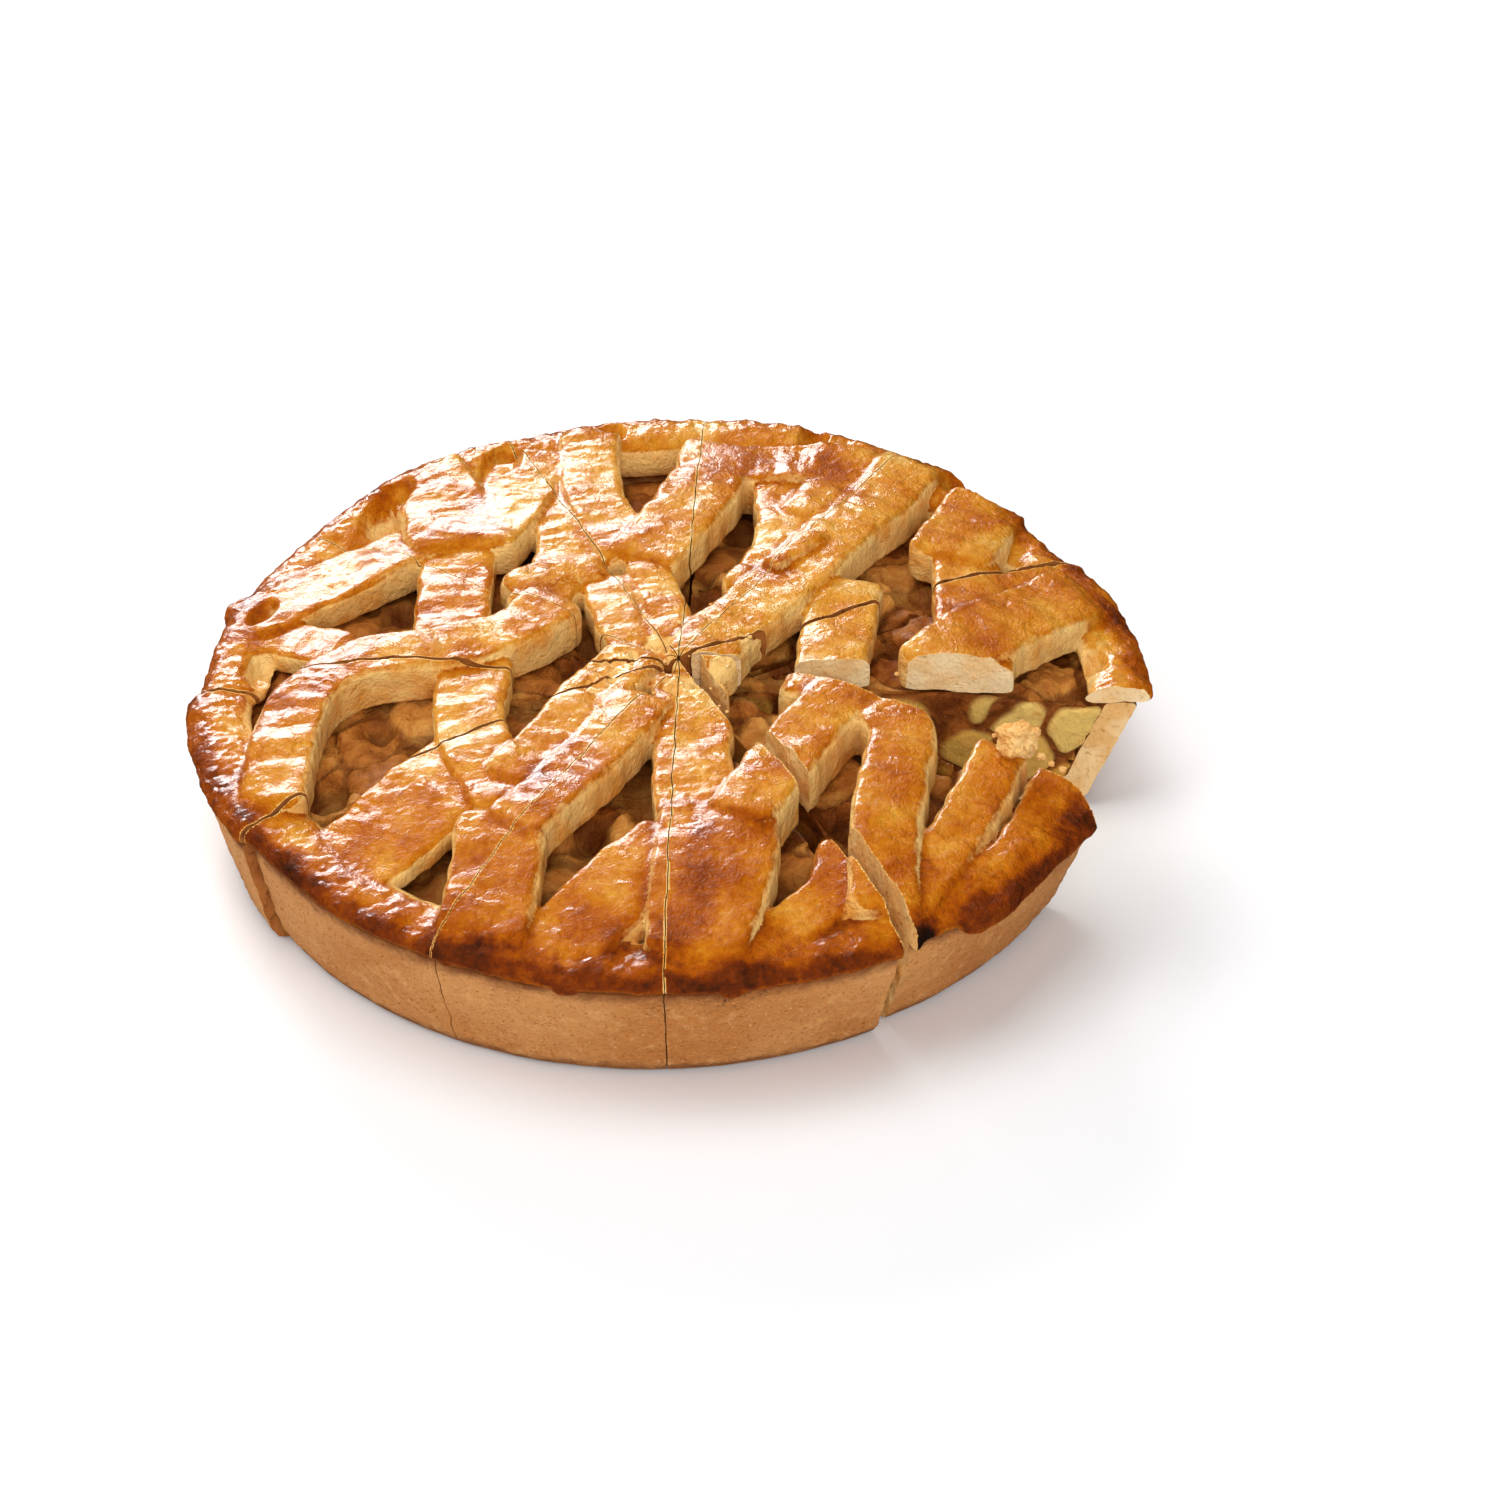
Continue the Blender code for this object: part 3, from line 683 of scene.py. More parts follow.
def closedCurve(corners, shares):  # a soft closed line through corners
    corners = np.array(corners)
    count = len(corners)
    at = shares * count
    index = np.floor(at).astype(int) % count
    t = (at - np.floor(at))[:, None]
    before, start, end, after = (corners[(index + step) % count] for step in (-1, 0, 1, 2))
    bend = 2 * before - 5 * start + 4 * end - after
    twist = 3 * start - before - 3 * end + after
    return start + 0.5 * t * (end - before + t * (bend + t * twist))


def shapeRim():
    bpy.ops.mesh.primitive_torus_add(
        major_segments=rim["segments"], minor_segments=rim["aroundPoints"],
        major_radius=0.1, minor_radius=0.01,
    )
    ring = bpy.context.active_object
    ring.name = "rimRing"
    points = getPoints(ring)
    turn = np.arctan2(points[:, 1], points[:, 0])
    around = np.arctan2(points[:, 2], np.hypot(points[:, 0], points[:, 1]) - 0.1)
    section = closedCurve(rim["section"], (0.5 - around / math.tau) % 1)
    outline = np.column_stack((np.cos(turn), np.sin(turn)))
    uneven = np.array([solidNoise(x, y, 0.17, 7.0) for x, y in outline])
    outer = rimReach(turn) + rim["unevenEdge"] * uneven
    flat = outline * (outer + section[:, 0])[:, None]
    share = np.clip((section[:, 1] - pie["seamHeight"] - 0.001) / 0.0035, 0, 1)
    swell = rim["swell"] * np.array([solidNoise(x, y, 0.03, 9.0) for x, y in flat])
    z = section[:, 1] + (swell + pie["backRise"] * backShare(flat[:, 1])) * share
    numbers = sliceAt(flat[:, 0], flat[:, 1])
    for number in knife["moved"]:
        flat[numbers == number] += sliceShift(number)
    setPoints(ring, np.column_stack((flat, z)))
    closeMesh(ring)
    return ring


# Folds and pits pressed into the rim as (x, y, length, width, direction) in millimetres and degrees
pressedIn = {
    "depth": 0.0058,
    "places": (
        (-90, 91, 26, 12, 62),
        (-55, 113, 24, 12, 80),
        (-21, 131, 9, 8, 80),
        (44, 127, 15, 8, 90),
        (92, 103, 19, 11, -22),
        (126, 15, 12, 6, 70),
        (-122, 10, 16, 9, 80),
        (-124, 36, 12, 7, 60),
    ),
}


def pressedDepth(x, y):  # how deep the pits are at a place
    total = np.zeros(len(x))
    for midX, midY, length, width, direction in pressedIn["places"]:
        turn = math.radians(direction)
        right = x - midX / 1000
        ahead = y - midY / 1000
        lengthwise = (right * math.cos(turn) + ahead * math.sin(turn)) / (length / 2000)
        sideways = (ahead * math.cos(turn) - right * math.sin(turn)) / (width / 2000)
        total = np.maximum(total, smoothStep((1.15 - np.hypot(lengthwise, sideways)) / 0.6))
    return total * pressedIn["depth"]


def joined(items, name):
    onlySelect(items[0])
    for item in items:
        item.select_set(True)
    bpy.ops.object.join()
    items[0].name = name
    return items[0]


# The whole woven top before the knife: strips and rim fused, then wrinkled
top = {
    "voxel": 0.00064,
    "smoothing": 2,
    "fold": 0.00050,
    "wrinkle": 0.00030,
    "fineWrinkle": 0.00014,
    "dimple": 0.00045,
    "rimCrag": 0.00060,
    "blister": 0.00030,
    "edgeWear": 0.45,
    "boxMargin": 0.00015,
    "torn": 0.0013,
    # Patches where the glaze has crumbled off, as (x, y, radius) in millimetres
    "wornPatches": (
        (-26, 6, 8), (-15, -4, 8), (-20, -14, 7), (4, -13, 8), (17, -8, 8), (24, 6, 6), (-4, 8, 6),
    ),
}

# How brown the dough is, from 0 for pale to 1 for black, with painted shade added in the creases where
# strips meet
browningAndShade = {
    "ground": 0.25,
    "broadPatch": 0.13,
    "smallPatch": 0.12,
    "towardsFront": 0.10,
    "awayFromMiddle": 0.04,
    "rim": 0.09,
    # painted shade for the creases where strips meet
    "crease": 0.13,
    "rimEdge": 0.15,
    "rimEdgeFront": 0.09,
    "most": 0.77,
    "lessUnderLip": 0.14,
    "mostBurnt": 0.96,
    # Patches that baked darker, as (x, y, radius, extra browning) in millimetres
    "darkPatches": (
        (98, -94, 12, 0.10), (30, -130, 18, 0.12), (-10, -134, 20, 0.10), (-122, -32, 18, 0.06),
        (-128, 20, 22, 0.06), (118, 62, 14, 0.06), (50, -122, 12, 0.12), (-40, -132, 16, 0.06),
        (-24, -48, 8, 0.14), (36, -18, 9, 0.08), (86, 30, 12, 0.10), (12, -92, 14, 0.02),
        (-66, -70, 12, 0.05), (20, 24, 9, 0.08), (-104, 0, 24, 0.12), (30, 45, 8, 0.20),
        (-58, 3, 8, 0.18), (-40, 29, 6, 0.12),
    ),
    "burntPatches": ((72, -116, 7, 0.34), (116, -62, 7, 0.22)),
}


def weaveTop():
    ribbons = [rollStrip(number, *strip) for number, strip in enumerate(strips["routes"], 1)]
    owners = []
    spots = []
    first = 0
    for ribbon, places in zip(ribbons, stationBook["place"]):
        points = getPoints(ribbon)
        gaps = np.linalg.norm(points[:, None, :2] - places[None], axis=2)
        owners.append(first + gaps.argmin(axis=1))
        spots.append(points)
        first += len(places)
    ring = shapeRim()
    ringPoints = getPoints(ring)
    owners.append(np.full(len(ringPoints), -1))
    spots.append(ringPoints)
    print(f"{len(ribbons)} strips laid")
    woven = joined([ring, *ribbons], "wovenTop")
    points = getPoints(woven)
    pressed = pressedDepth(points[:, 0], points[:, 1])
    bed = bedAt(points[:, 0], points[:, 1]) - strips["sunkInBed"]
    height = np.clip((points[:, 2] - bed) / 0.008, 0, 1)
    points[:, 2] -= pressed * height
    setPoints(woven, points)
    applyModifier(woven, "REMESH", mode="VOXEL", voxel_size=top["voxel"])
    applyModifier(woven, "SMOOTH", factor=0.5, iterations=top["smoothing"])
    print(f"top fused, {len(woven.data.polygons)} faces")
    tree = KDTree(sum(len(spot) for spot in spots))
    owners = np.concatenate(owners)
    for index, spot in enumerate(np.vstack(spots)):
        tree.insert(spot, index)
    tree.balance()
    points = getPoints(woven)
    nearest = owners[[tree.find(point)[1] for point in points]]
    finishTop(woven, points, nearest)
    return woven


def besideOther(item, labels):  # 1 where two strips meet, fading over a few edges
    edges = np.empty(len(item.data.edges) * 2, np.int32)
    item.data.edges.foreach_get("vertices", edges)
    first, last = edges.reshape(-1, 2).T
    meets = np.zeros(len(labels))
    differ = labels[first] != labels[last]
    meets[first[differ]] = 1
    meets[last[differ]] = 1
    for _ in range(3):
        spread = meets.copy()
        np.maximum.at(spread, first, meets[last] * 0.7)
        np.maximum.at(spread, last, meets[first] * 0.7)
        meets = spread
    return meets


def softened(item, points, share):  # evens out a mesh where the share is above 0
    edges = np.empty(len(item.data.edges) * 2, np.int32)
    item.data.edges.foreach_get("vertices", edges)
    first, last = edges.reshape(-1, 2).T
    count = len(points)
    beside = np.bincount(edges, minlength=count)[:, None]
    for _ in range(3):
        total = np.column_stack([
            np.bincount(first, points[last, axis], count) + np.bincount(last, points[first, axis], count)
            for axis in range(3)
        ])
        points = points + (total / beside - points) * (0.5 * share)[:, None]
    return points


def insideBox(points):  # keeps the relief within the solids' own box
    low, high = (np.array(corner) for corner in cadBox)
    middle = np.array((*pie["middle"], 0))
    return np.clip(points, low - middle + top["boxMargin"], high - middle - top["boxMargin"])


def patchShare(points, spot, size, grain, seed):  # 1 inside an uneven round patch
    gap = np.hypot(*(points[:, :2] - np.array(spot) / 1000).T) * 1000 / size
    return smoothStep((1.15 + 0.3 * lumps(points, grain, seed) - gap) / 0.75)


def insidePatches(points, patches, grain, seed):  # 1 inside any of the patches
    share = np.zeros(len(points))
    for *spot, size in patches:
        share = np.maximum(share, patchShare(points, spot, size, grain, seed))
    return share


def placeOnDough(woven, points, owner):  # where each point lies on its strip or the rim
    book = {name: np.concatenate(values) for name, values in stationBook.items()}
    onRim = owner < 0
    owner = np.maximum(owner, 0)
    away = points[:, :2] - book["place"][owner]
    along = book["distance"][owner] + np.einsum("ij,ij->i", away, book["head"][owner])
    across = np.einsum("ij,ij->i", away, book["side"][owner])
    turn = np.arctan2(points[:, 1], points[:, 0])
    radius = np.hypot(points[:, 0], points[:, 1])
    depth = rimDepth(points[:, 0], points[:, 1])
    normals = getNormals(woven)
    return {
        "along": np.where(onRim, turn * pie["rimRadius"], along),
        "across": np.where(onRim, radius - pie["rimRadius"], across),
        "seed": np.where(onRim, 30.0, book["seed"][owner]),
        "halfWidth": book["halfWidth"][owner],
        "onRim": onRim,
        "radius": radius,
        "depth": depth,
        "inRim": smoothStep((depth - 0.1) / 0.6),
        "normals": normals,
        "facingUp": smoothStep((normals[:, 2] - 0.15) / 0.55),
    }


def wrinkleDough(woven, points, at):  # folds, wrinkles, dimples and blisters along each strip
    laid = np.column_stack((at["along"], at["across"] * 0.30, at["seed"]))
    laid[:, :2] += 0.0012 * np.column_stack((lumps(points, 0.008, 14), lumps(points, 0.008, 15)))
    wrinkled = smoothStep((lumps(points, 0.017, 3) + 0.35) / 0.8)
    blistered = smoothStep(lumps(points, 0.02, 6) * 2)
    relief = top["fold"] * lumps(laid, 0.0062, 16) * (1 - at["inRim"] * 0.5)
    relief += top["wrinkle"] * lumps(laid, 0.0028, 1) * wrinkled
    relief += top["fineWrinkle"] * lumps(laid, 0.0015, 2) * wrinkled
    relief += top["dimple"] * lumps(points, 0.0075, 4)
    relief += top["blister"] * np.maximum(lumps(points, 0.0024, 5), 0) * blistered
    relief += top["rimCrag"] * (crags(points, 0.0048, 3, 7) - 0.6) * at["inRim"]
    relief += top["torn"] * at["worn"] * (crags(points, 0.0034, 3, 19) - 0.5)
    relief *= np.maximum(0.25 + 0.75 * at["facingUp"], 0.6 * at["inRim"]) * (1 - at["crease"])
    points = points + at["normals"] * relief[:, None]
    return insideBox(softened(woven, points, at["crease"]))


def addPatches(bakeAndShade, points, patches):
    for *spot, size, extra in patches:
        bakeAndShade += extra * patchShare(points, spot, size, 0.006, 10)


def brownAndShadeDough(points, at):  # darker in front and towards the rim's edge, with painted shade in the creases where strips meet
    y = points[:, 1]
    bakeAndShade = browningAndShade["ground"] + browningAndShade["broadPatch"] * lumps(points, 0.030, 8)
    bakeAndShade += browningAndShade["smallPatch"] * lumps(points, 0.012, 9)
    bakeAndShade += browningAndShade["towardsFront"] * smoothStep(-y / 0.09)
    bakeAndShade += browningAndShade["awayFromMiddle"] * smoothStep((at["radius"] - 0.055) / 0.06)
    # painted shade: darker in the creases where strips meet
    bakeAndShade += browningAndShade["rim"] * smoothStep((at["depth"] - 0.45) / 0.4) + browningAndShade["crease"] * at["crease"]
    outer = smoothStep((at["depth"] - 0.72 + 0.10 * lumps(points, 0.009, 13)) / 0.22)
    bakeAndShade += (browningAndShade["rimEdge"] + browningAndShade["rimEdgeFront"] * smoothStep(-y / 0.08)) * outer
    addPatches(bakeAndShade, points, browningAndShade["darkPatches"])
    bakeAndShade = np.minimum(bakeAndShade, browningAndShade["most"] + 0.05 * lumps(points, 0.006, 11))
    underLip = smoothStep((0.2 - at["normals"][:, 2]) / 0.6) * smoothStep((at["depth"] - 0.6) / 0.3)
    bakeAndShade -= browningAndShade["lessUnderLip"] * underLip
    addPatches(bakeAndShade, points, browningAndShade["burntPatches"])
    return np.minimum(bakeAndShade, browningAndShade["mostBurnt"])


def glazeDough(points, at):  # egg wash on top, rubbed off along the edges and where the dough is torn
    x, y, z = points.T
    glaze = at["facingUp"] * smoothStep((z - bedAt(x, y) - 0.003) / 0.003)
    fromEdge = at["halfWidth"] - np.abs(at["across"]) + 0.0012 * lumps(points, 0.005, 17)
    rubbed = (1 - smoothStep((fromEdge - 0.0008) / 0.0016)) * (1 - at["inRim"]) * ~at["onRim"]
    glaze *= 1 - top["edgeWear"] * rubbed * smoothStep((z - crownAt(x, y) + 0.002) / 0.002)
    glaze *= 1 - 0.85 * at["worn"]
    glaze = np.maximum(glaze, at["inRim"] * smoothStep((at["normals"][:, 2] + 0.5) / 0.4))
    return np.maximum(glaze, smoothStep((at["depth"] - 0.55) / 0.25))


def finishTop(woven, points, owner):
    at = placeOnDough(woven, points, owner)
    at["worn"] = insidePatches(points, top["wornPatches"], 0.004, 18)
    at["crease"] = besideOther(woven, at["seed"])
    points = wrinkleDough(woven, points, at)
    setPoints(woven, points)
    paint(woven, "bakeAndShade", brownAndShadeDough(points, at))
    paint(woven, "glaze", glazeDough(points, at))


# The wedge of space that each slice keeps
def keptSide(outline, place, inward):
    kept = []
    for here, after in zip(outline, outline[1:] + outline[:1]):
        a = (here - place) @ inward
        b = (after - place) @ inward
        if a >= 0:
            kept.append(here)
        if a * b < 0:
            kept.append(here + (after - here) * (a / (a - b)))
    return kept


def sliceWedge(number):
    start, end = (math.radians(knife["angles"][index]) for index in (number - 1, number))
    shift = sliceShift(number)
    centre = knife["centre"] + shift
    pastStart = np.array((-math.sin(start), math.cos(start)))
    beforeEnd = np.array((math.sin(end), -math.cos(end)))
    outline = [np.array(corner) * knife["reach"] for corner in ((-1, -1), (1, -1), (1, 1), (-1, 1))]
    outline = keptSide(outline, centre + pastStart * knife["gap"] / 2, pastStart)
    outline = keptSide(outline, centre + beforeEnd * knife["gap"] / 2, beforeEnd)
    if number == sliceCount:
        first = math.radians(knife["angles"][0])
        offFirst = np.array((math.sin(first), -math.cos(first)))
        outline = keptSide(outline, knife["centre"] + offFirst * knife["tipClearance"], offFirst)
        outline = keptSide(outline, *knife["wornCorner"])
    planes = {"start": (centre, pastStart), "end": (centre, beforeEnd)}
    openPlanes = [(*planes[name], kind) for name, kind in knife["openWalls"].get(number, {}).items()]
    dense = []
    wallKinds = []
    for here, after in zip(outline, outline[1:] + outline[:1]):
        middle = (here + after) / 2
        found = [kind for place, inward, kind in openPlanes
                 if abs((middle - place) @ inward) < knife["gap"]]
        step = knife["openStep" if found else "tightStep"]
        pieces = max(1, round(np.linalg.norm(after - here) / step))
        dense += [here + (after - here) * piece / pieces for piece in range(pieces)]
        wallKinds += (found or [tightWall]) * pieces
    dense = np.array(dense)
    crumbling = knife["crumbling"] * np.where(np.array(wallKinds) == tightWall, 0.4, 1)[:, None]
    levels = np.concatenate(((-0.02,), np.arange(0.001, 0.0641, 0.0016), (0.09,)))
    points = []
    for level in levels:
        still = np.column_stack((dense - shift, np.full(len(dense), level)))
        sway = np.column_stack((lumps(still, 0.007, 21), lumps(still, 0.007, 22)))
        rough = np.column_stack((crags(still, 0.0035, 2, 23), crags(still, 0.0035, 2, 25)))
        points += [(*place, level) for place in dense + sway * knife["waviness"] + rough * crumbling]
    count = len(dense)
    faces = [tuple(range(count))[::-1], tuple(range(len(points) - count, len(points)))]
    for low in range(0, len(points) - count, count):
        for side in range(count):
            beside = (side + 1) % count
            faces.append((low + side, low + beside, low + count + beside, low + count + side))
    mesh = bpy.data.meshes.new("wedge")
    mesh.from_pydata(points, [], faces)
    for finish in (glazedDough, *cutFinishes):
        mesh.materials.append(finish)
    kinds = [tightWall, tightWall] + wallKinds * (len(levels) - 1)
    mesh.polygons.foreach_set("material_index", kinds)
    wedge = bpy.data.objects.new("wedge", mesh)
    bpy.context.scene.collection.objects.link(wedge)
    return wedge


def copyOf(item, name, shift=(0, 0)):
    made = bpy.data.objects.new(name, item.data.copy())
    bpy.context.scene.collection.objects.link(made)
    points = getPoints(made)
    points[:, :2] += shift
    setPoints(made, points)
    return made


def cutOut(whole, name, wedge, shift=(0, 0)):
    piece = copyOf(whole, name, shift)
    applyModifier(piece, "BOOLEAN", object=wedge, operation="INTERSECT", solver="MANIFOLD")
    return piece


def standInPlace(piece):  # from the pie's middle to the frame
    points = getPoints(piece)
    points[:, :2] += pie["middle"]
    setPoints(piece, points)


# The shell: a turned wall and base with a sandy outside
shell = {
    "segments": 640,
    "grain": 0.00022,
    "unevenness": 0.00045,
}


def shellRadius(height):
    return pie["baseRadius"] + (pie["seamRadius"] - pie["baseRadius"]) * height / pie["seamHeight"]


def shellProfile():  # corners as (radius, height, rings up to the next), from inside over the top
    innerFoot = shellRadius(pie["baseThickness"]) - pie["wallThickness"]
    innerTop = pie["seamRadius"] - pie["wallThickness"]
    corners = (
        (0, pie["baseThickness"], 5),
        (innerFoot - 0.0040, pie["baseThickness"], 2),
        (innerFoot + 0.0015, pie["baseThickness"] + 0.0050, 5),
        (innerTop, pie["seamHeight"] - 0.0008, 1),
        (innerTop + 0.0008, pie["seamHeight"], 6),
        (pie["seamRadius"] - 0.0012, pie["seamHeight"], 2),
        (pie["seamRadius"], pie["seamHeight"] - 0.0010, 13),
        (shellRadius(0.022) + 0.0004, 0.022, 14),
        (shellRadius(0.0045) - 0.0001, 0.0045, 3),
        (pie["baseRadius"] - 0.0012, 0.0012, 3),
        (pie["baseRadius"] - 0.0045, 0, 6),
        (0, 0, 0),
    )
    rings = []
    for (radius, height, count), (nextRadius, nextHeight, _) in zip(corners, corners[1:]):
        for piece in range(count):
            share = piece / count
            rings.append((radius + (nextRadius - radius) * share, height + (nextHeight - height) * share))
    rings.append((0, 0))
    return np.array(rings)


def turnShell():
    rings = shellProfile()
    bpy.ops.mesh.primitive_uv_sphere_add(segments=shell["segments"], ring_count=len(rings) - 1, radius=1)
    body = bpy.context.active_object
    body.name = "shellBody"
    points = getPoints(body)
    turn = np.arctan2(points[:, 1], points[:, 0])
    ring = np.rint(np.arccos(np.clip(points[:, 2], -1, 1)) / math.pi * (len(rings) - 1)).astype(int)
    radius, height = rings[ring].T
    up = np.minimum(height / pie["seamHeight"], 1)
    bulge = (rimReach(turn) - pie["rimRadius"]) * pie["wallShareOfBulge"] / pie["seamRadius"]
    out = radius * (1 + bulge * up)
    lean = pie["baseCentreX"] + (pie["seamCentreX"] - pie["baseCentreX"]) * up
    flat = np.column_stack((out * np.cos(turn) + lean, out * np.sin(turn)))
    points = np.column_stack((flat, height))
    outside = smoothStep((radius - pie["baseRadius"] + 0.006) / 0.003) * smoothStep(height / 0.003)
    relief = shell["unevenness"] * (crags(points, 0.012, 3, 31) - 0.5)
    relief += shell["grain"] * (crags(points, 0.0026, 2, 33) - 0.4)
    points[:, :2] += np.column_stack((np.cos(turn), np.sin(turn))) * (relief * outside)[:, None]
    setPoints(body, points)
    closeMesh(body)
    return body


# Apple chunks in jelly: a seeded field of pieces that shows at the cuts and under the strips
fruit = {
    "spacing": 0.0190,
    "layer": 0.0145,
    "chunkShare": 0.90,
    "fineVoxel": 0.00075,
    "voxel": 0.00135,
    "standsOut": 0.0009,
    "sinksIn": 0.0012,
    "topRelief": 0.0020,
    "topMush": 0.0016,
    "holeDepth": 0.0045,
    # Hollows under the strips as (x, y, radius) in millimetres from the pie's middle
    "holes": (
        (-98, -46, 8), (-86, -18, 6), (30, -38, 6), (50, -62, 7), (-22, -72, 7), (34, -92, 7),
        (14, -26, 5), (80, -34, 7), (22, 86, 7), (-84, 44, 6), (-30, 10, 5), (66, 22, 6),
        (-78, -84, 6), (-44, -30, 5), (100, 16, 6), (-54, 44, 5), (8, 62, 5), (70, 62, 6),
        (-104, 26, 5), (72, -78, 5), (-6, -60, 5),
    ),
}


def chunkField(points):  # how much a place is chunk, and the chunk's own tone
    random = np.random.default_rng(11)
    steps = np.arange(-0.14, 0.14, fruit["spacing"])
    layers = np.arange(0.004, 0.052, fruit["layer"])
    centres = np.array([(x, y, z) for x in steps for y in steps for z in layers])
    cell = (fruit["spacing"], fruit["spacing"], fruit["layer"])
    centres += random.uniform(-0.45, 0.45, centres.shape) * cell
    isChunk = random.random(len(centres)) < fruit["chunkShare"]
    tones = random.random(len(centres))
    stretch = np.array((1, 1, 1.25))
    tree = KDTree(len(centres))
    for index, centre in enumerate(centres * stretch):
        tree.insert(centre, index)
    tree.balance()
    bent = points + 0.0016 * np.column_stack([lumps(points, 0.009, seed) for seed in (41, 42, 43)])
    found = [tree.find_n(place, 2) for place in bent * stretch]
    owner = np.array([pair[0][1] for pair in found])
    edge = np.array([pair[1][2] - pair[0][2] for pair in found])
    away = np.array([pair[0][2] for pair in found])
    sizes = fruit["spacing"] * (0.60 + 0.20 * tones)
    solid = smoothStep((edge - 0.0002) / 0.0026) * smoothStep((sizes[owner] - away) / 0.0034)
    return solid * isChunk[owner], tones[owner]


def fillSlice(number):
    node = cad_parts[f"filling_{number:02d}"]
    piece = bpy.data.objects.new(f"fruitFilling{number:02d}", node.data.copy())
    bpy.context.scene.collection.objects.link(piece)
    closeMesh(piece)
    besideGap = number in (1, sliceCount)
    applyModifier(piece, "REMESH", mode="VOXEL", voxel_size=fruit["fineVoxel" if besideGap else "voxel"])
    applyModifier(piece, "SMOOTH", factor=0.5, iterations=3)
    points = getPoints(piece)
    normals = getNormals(piece)
    cut = np.zeros(len(points))
    if besideGap:
        index, inward = (0, 1) if number == 1 else (-1, -1)
        angle = math.radians(knife["angles"][index])
        outward = np.array((math.sin(angle), -math.cos(angle))) * inward
        centre = knife["centre"] + sliceShift(number) + pie["middle"]
        behind = -(points[:, :2] - centre) @ outward
        cut = smoothStep((0.0022 - behind) / 0.0012)
    solid, tone = chunkField(points)
    onTop = smoothStep((normals[:, 2] - 0.3) / 0.4) * (1 - cut)
    hollow = insidePatches(points - (*pie["middle"], 0), fruit["holes"], 0.006, 53)
    # the hollows lose their chunks, so they take the painted crevice shade as well as sinking
    solid = solid * (1 - hollow * onTop)
    relief = cut * (fruit["standsOut"] * solid - fruit["sinksIn"] * (1 - solid))
    relief += cut * 0.0004 * crags(points, 0.004, 2, 51)
    relief += onTop * fruit["topRelief"] * (solid - 0.8)
    relief += onTop * fruit["topMush"] * (crags(points, 0.010, 4, 52) - 0.4)
    relief -= onTop * fruit["holeDepth"] * hollow
    setPoints(piece, points + normals * relief[:, None])
    paint(piece, "chunk", solid)
    paint(piece, "tone", tone)
    paint(piece, "cut", cut)
    piece.data.materials.clear()
    piece.data.materials.append(cinnamonFilling)
    smoothShade(piece, 60)
    return piece


# A rough crumb of dough beside the gap, and small ones in two cuts, on top and beside the gap
crumbs = {
    "large": (0.0995, -0.0435, 0.0560),
    "largeRadius": 0.0070,
    "wideCut": np.array((0.0040, 0.0005)),
    "wideCutHeading": np.array((math.cos(math.radians(298)), math.sin(math.radians(298)))),
    "inWideCut": 90,
    "narrowCut": np.array((0.0025, -0.0024)),
    "inNarrowCut": 80,
    "onTop": 60,
    "nearMiddle": 0.036,
    # Loose crumbs as (x, y, height, radius) in millimetres from the pie's middle
    "loose": (
        (106, -47, 52.5, 1.5), (109, -48.5, 51, 1.1), (104, -45, 54, 1.2), (112, -50, 50, 1.3),
        (93, -41, 55.5, 0.9), (97, -49, 54.5, 0.8), (66, -12, 56.5, 0.8), (52, -6, 57.5, 0.9),
    ),
}


def roughBall(place, radius, detail, seed):
    bpy.ops.mesh.primitive_ico_sphere_add(subdivisions=detail, radius=radius)
    ball = bpy.context.active_object
    points = getPoints(ball)
    swell = 0.86 + 0.26 * crags(points, radius * 0.86, 4, seed)
    setPoints(ball, points * np.clip(swell, 0.6, 1.05)[:, None] * (1.0, 0.85, 0.85) + place)
    return ball


def crumblySpots(woven):  # points near the middle that face up
    points = getPoints(woven)
    nearMiddle = np.hypot(points[:, 0], points[:, 1]) < crumbs["nearMiddle"]
    return points[nearMiddle & (getNormals(woven)[:, 2] > 0.6)]


def dropCrumbs(topSpots):
    random = np.random.default_rng(23)
    balls = [roughBall(crumbs["large"], crumbs["largeRadius"], 6, 61)]
    heading = crumbs["wideCutHeading"]
    for number in range(crumbs["inWideCut"]):
        out = random.uniform(0.045, 0.1165)
        low = 0.0016 + (0.016 * random.random() if out > 0.105 else 0.008 * random.random())
        aside = np.array((-heading[1], heading[0])) * random.uniform(-0.0012, 0.0012)
        spot = crumbs["wideCut"] + heading * out + aside
        balls.append(roughBall((*spot, low), random.uniform(0.0011, 0.0022), 3, 70 + number))
    for number in range(crumbs["inNarrowCut"]):
        out = (random.uniform(0.030, 0.114), random.uniform(-0.0002, 0.0002))
        spot = (*(crumbs["narrowCut"] - out), random.uniform(0.004, 0.041))
        balls.append(roughBall(spot, random.uniform(0.0007, 0.0012), 3, 170 + number))
    for number, (x, y, height, radius) in enumerate(crumbs["loose"]):
        balls.append(roughBall(np.array((x, y, height)) / 1000, radius / 1000, 4, 300 + number))
    for number, spot in enumerate(random.choice(topSpots, crumbs["onTop"], replace=False)):
        balls.append(roughBall(spot, random.uniform(0.0004, 0.0010), 3, 400 + number))
    piece = joined(balls, "doughCrumbs")
    standInPlace(piece)
    piece.data.materials.append(toastedCrumb)
    smoothShade(piece)
    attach(piece, "root")
    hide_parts(f"lattice_{sliceCount:02d}")


# The top and the shell made whole, cut into slices, and the filling put in each
wovenTop = weaveTop()
for finish in (glazedDough, *cutFinishes):
    wovenTop.data.materials.append(finish)
shellBody = turnShell()
for finish in (sandyShortcrust, shellCrumb, *cutFinishes[1:]):
    shellBody.data.materials.append(finish)
print("shell turned")

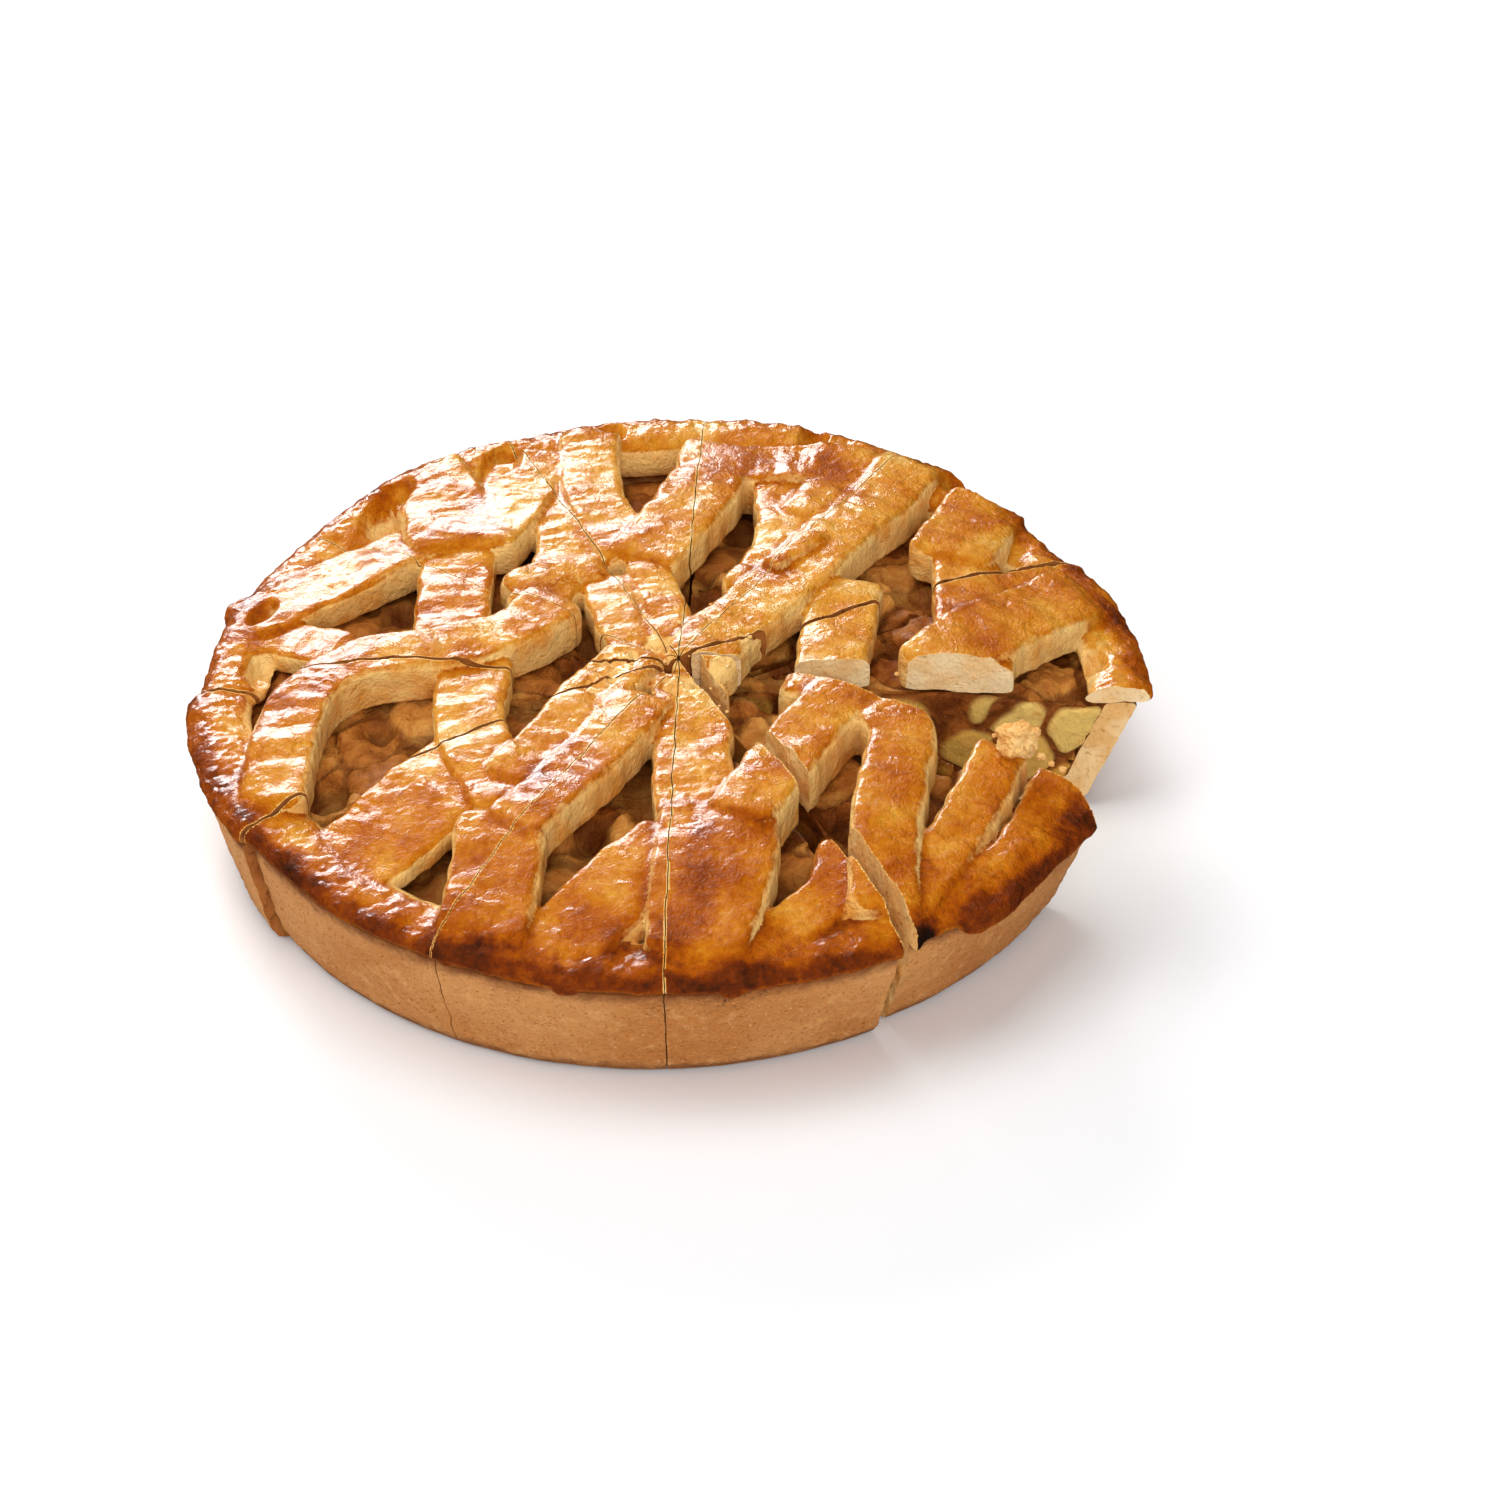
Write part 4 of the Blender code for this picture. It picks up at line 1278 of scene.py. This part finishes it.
for number in range(1, sliceCount + 1):
    wedge = sliceWedge(number)
    latticeNodes = sorted(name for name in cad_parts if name.startswith(f"lattice_{number:02d}"))
    parts = {
        "bakedLattice": (wovenTop, (0, 0), "baked_lattice", latticeNodes),
        "pieCrust": (shellBody, sliceShift(number), "pie_crust", [f"crust_{number:02d}"]),
    }
    for name, (whole, shift, slot, nodes) in parts.items():
        piece = cutOut(whole, f"{name}{number:02d}", wedge, shift)
        standInPlace(piece)
        smoothShade(piece)
        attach(piece, "root")
        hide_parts(*nodes)
    bpy.data.objects.remove(wedge)
    filling = fillSlice(number)
    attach(filling, "root")
    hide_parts(f"filling_{number:02d}")
print("slices cut")

topSpots = crumblySpots(wovenTop)
bpy.data.objects.remove(wovenTop)
bpy.data.objects.remove(shellBody)
dropCrumbs(topSpots)
print("crumbs dropped")

# Floor, light and camera
studio = {
    "floorWhite": (0.86, 0.86, 0.87, 1),
    "roomLight": 0.27,
    # Lamps as (name, place, width, height, power, whether the glaze mirrors it)
    "lamps": (
        ("keyWindow", (-0.50, 1.55, 0.66), 0.95, 0.54, 24, True),
        ("topBox", (-0.3, 0.2, 1.9), 1.2, 1.2, 16, False),
        ("leftFill", (-1.3, -0.3, 1.3), 1.2, 1.2, 11, False),
        ("frontFill", (0.4, -1.7, 1.2), 1.6, 1.6, 27, False),
    ),
    "elevation": 0.634018,
    "distance": 1.2,
    "aside": 0.02327,
    "raised": 0.02022,
    "focalPixels": 4021,
    "imagePixels": 1500,
}


def setStudio():
    bpy.ops.mesh.primitive_plane_add(size=6, location=(0, 0, 0))
    floor = bpy.context.active_object
    floor.name = "paleFloor"
    paper, _, shader = newFinish("palePaper", Base_Color=studio["floorWhite"], Roughness=0.7)
    floor.data.materials.append(paper)
    floor.visible_glossy = False  # or the rim's lower lip mirrors it and turns grey
    world = bpy.data.worlds.new("softRoom")
    world.use_nodes = True
    world.node_tree.nodes["Background"].inputs["Color"].default_value = (1.0, 0.99, 0.97, 1)
    world.node_tree.nodes["Background"].inputs["Strength"].default_value = studio["roomLight"]
    world.cycles_visibility.glossy = False
    bpy.context.scene.world = world
    for name, place, width, height, power, isMirrored in studio["lamps"]:
        data = bpy.data.lights.new(name, "AREA")
        data.shape = "RECTANGLE"
        data.size = width
        data.size_y = height
        data.energy = power
        lamp = bpy.data.objects.new(name, data)
        lamp.visible_glossy = isMirrored
        lamp.location = place
        lamp.rotation_euler = (Vector((0, 0, 0.03)) - Vector(place)).to_track_quat("-Z", "Y").to_euler()
        bpy.context.scene.collection.objects.link(lamp)
    data = bpy.data.cameras.new("photoCamera")
    data.sensor_width = 36
    data.lens = studio["focalPixels"] / studio["imagePixels"] * data.sensor_width
    camera = bpy.data.objects.new("photoCamera", data)
    tilt = studio["elevation"]
    camera.location = (
        pie["middle"][0] + studio["aside"],
        pie["middle"][1] - studio["distance"] * math.cos(tilt),
        studio["raised"] + studio["distance"] * math.sin(tilt),
    )
    camera.rotation_euler = (math.pi / 2 - tilt, 0, 0)
    bpy.context.scene.collection.objects.link(camera)
    bpy.context.scene.camera = camera
    bpy.context.scene.view_settings.view_transform = "Standard"


setStudio()
print("studio set")
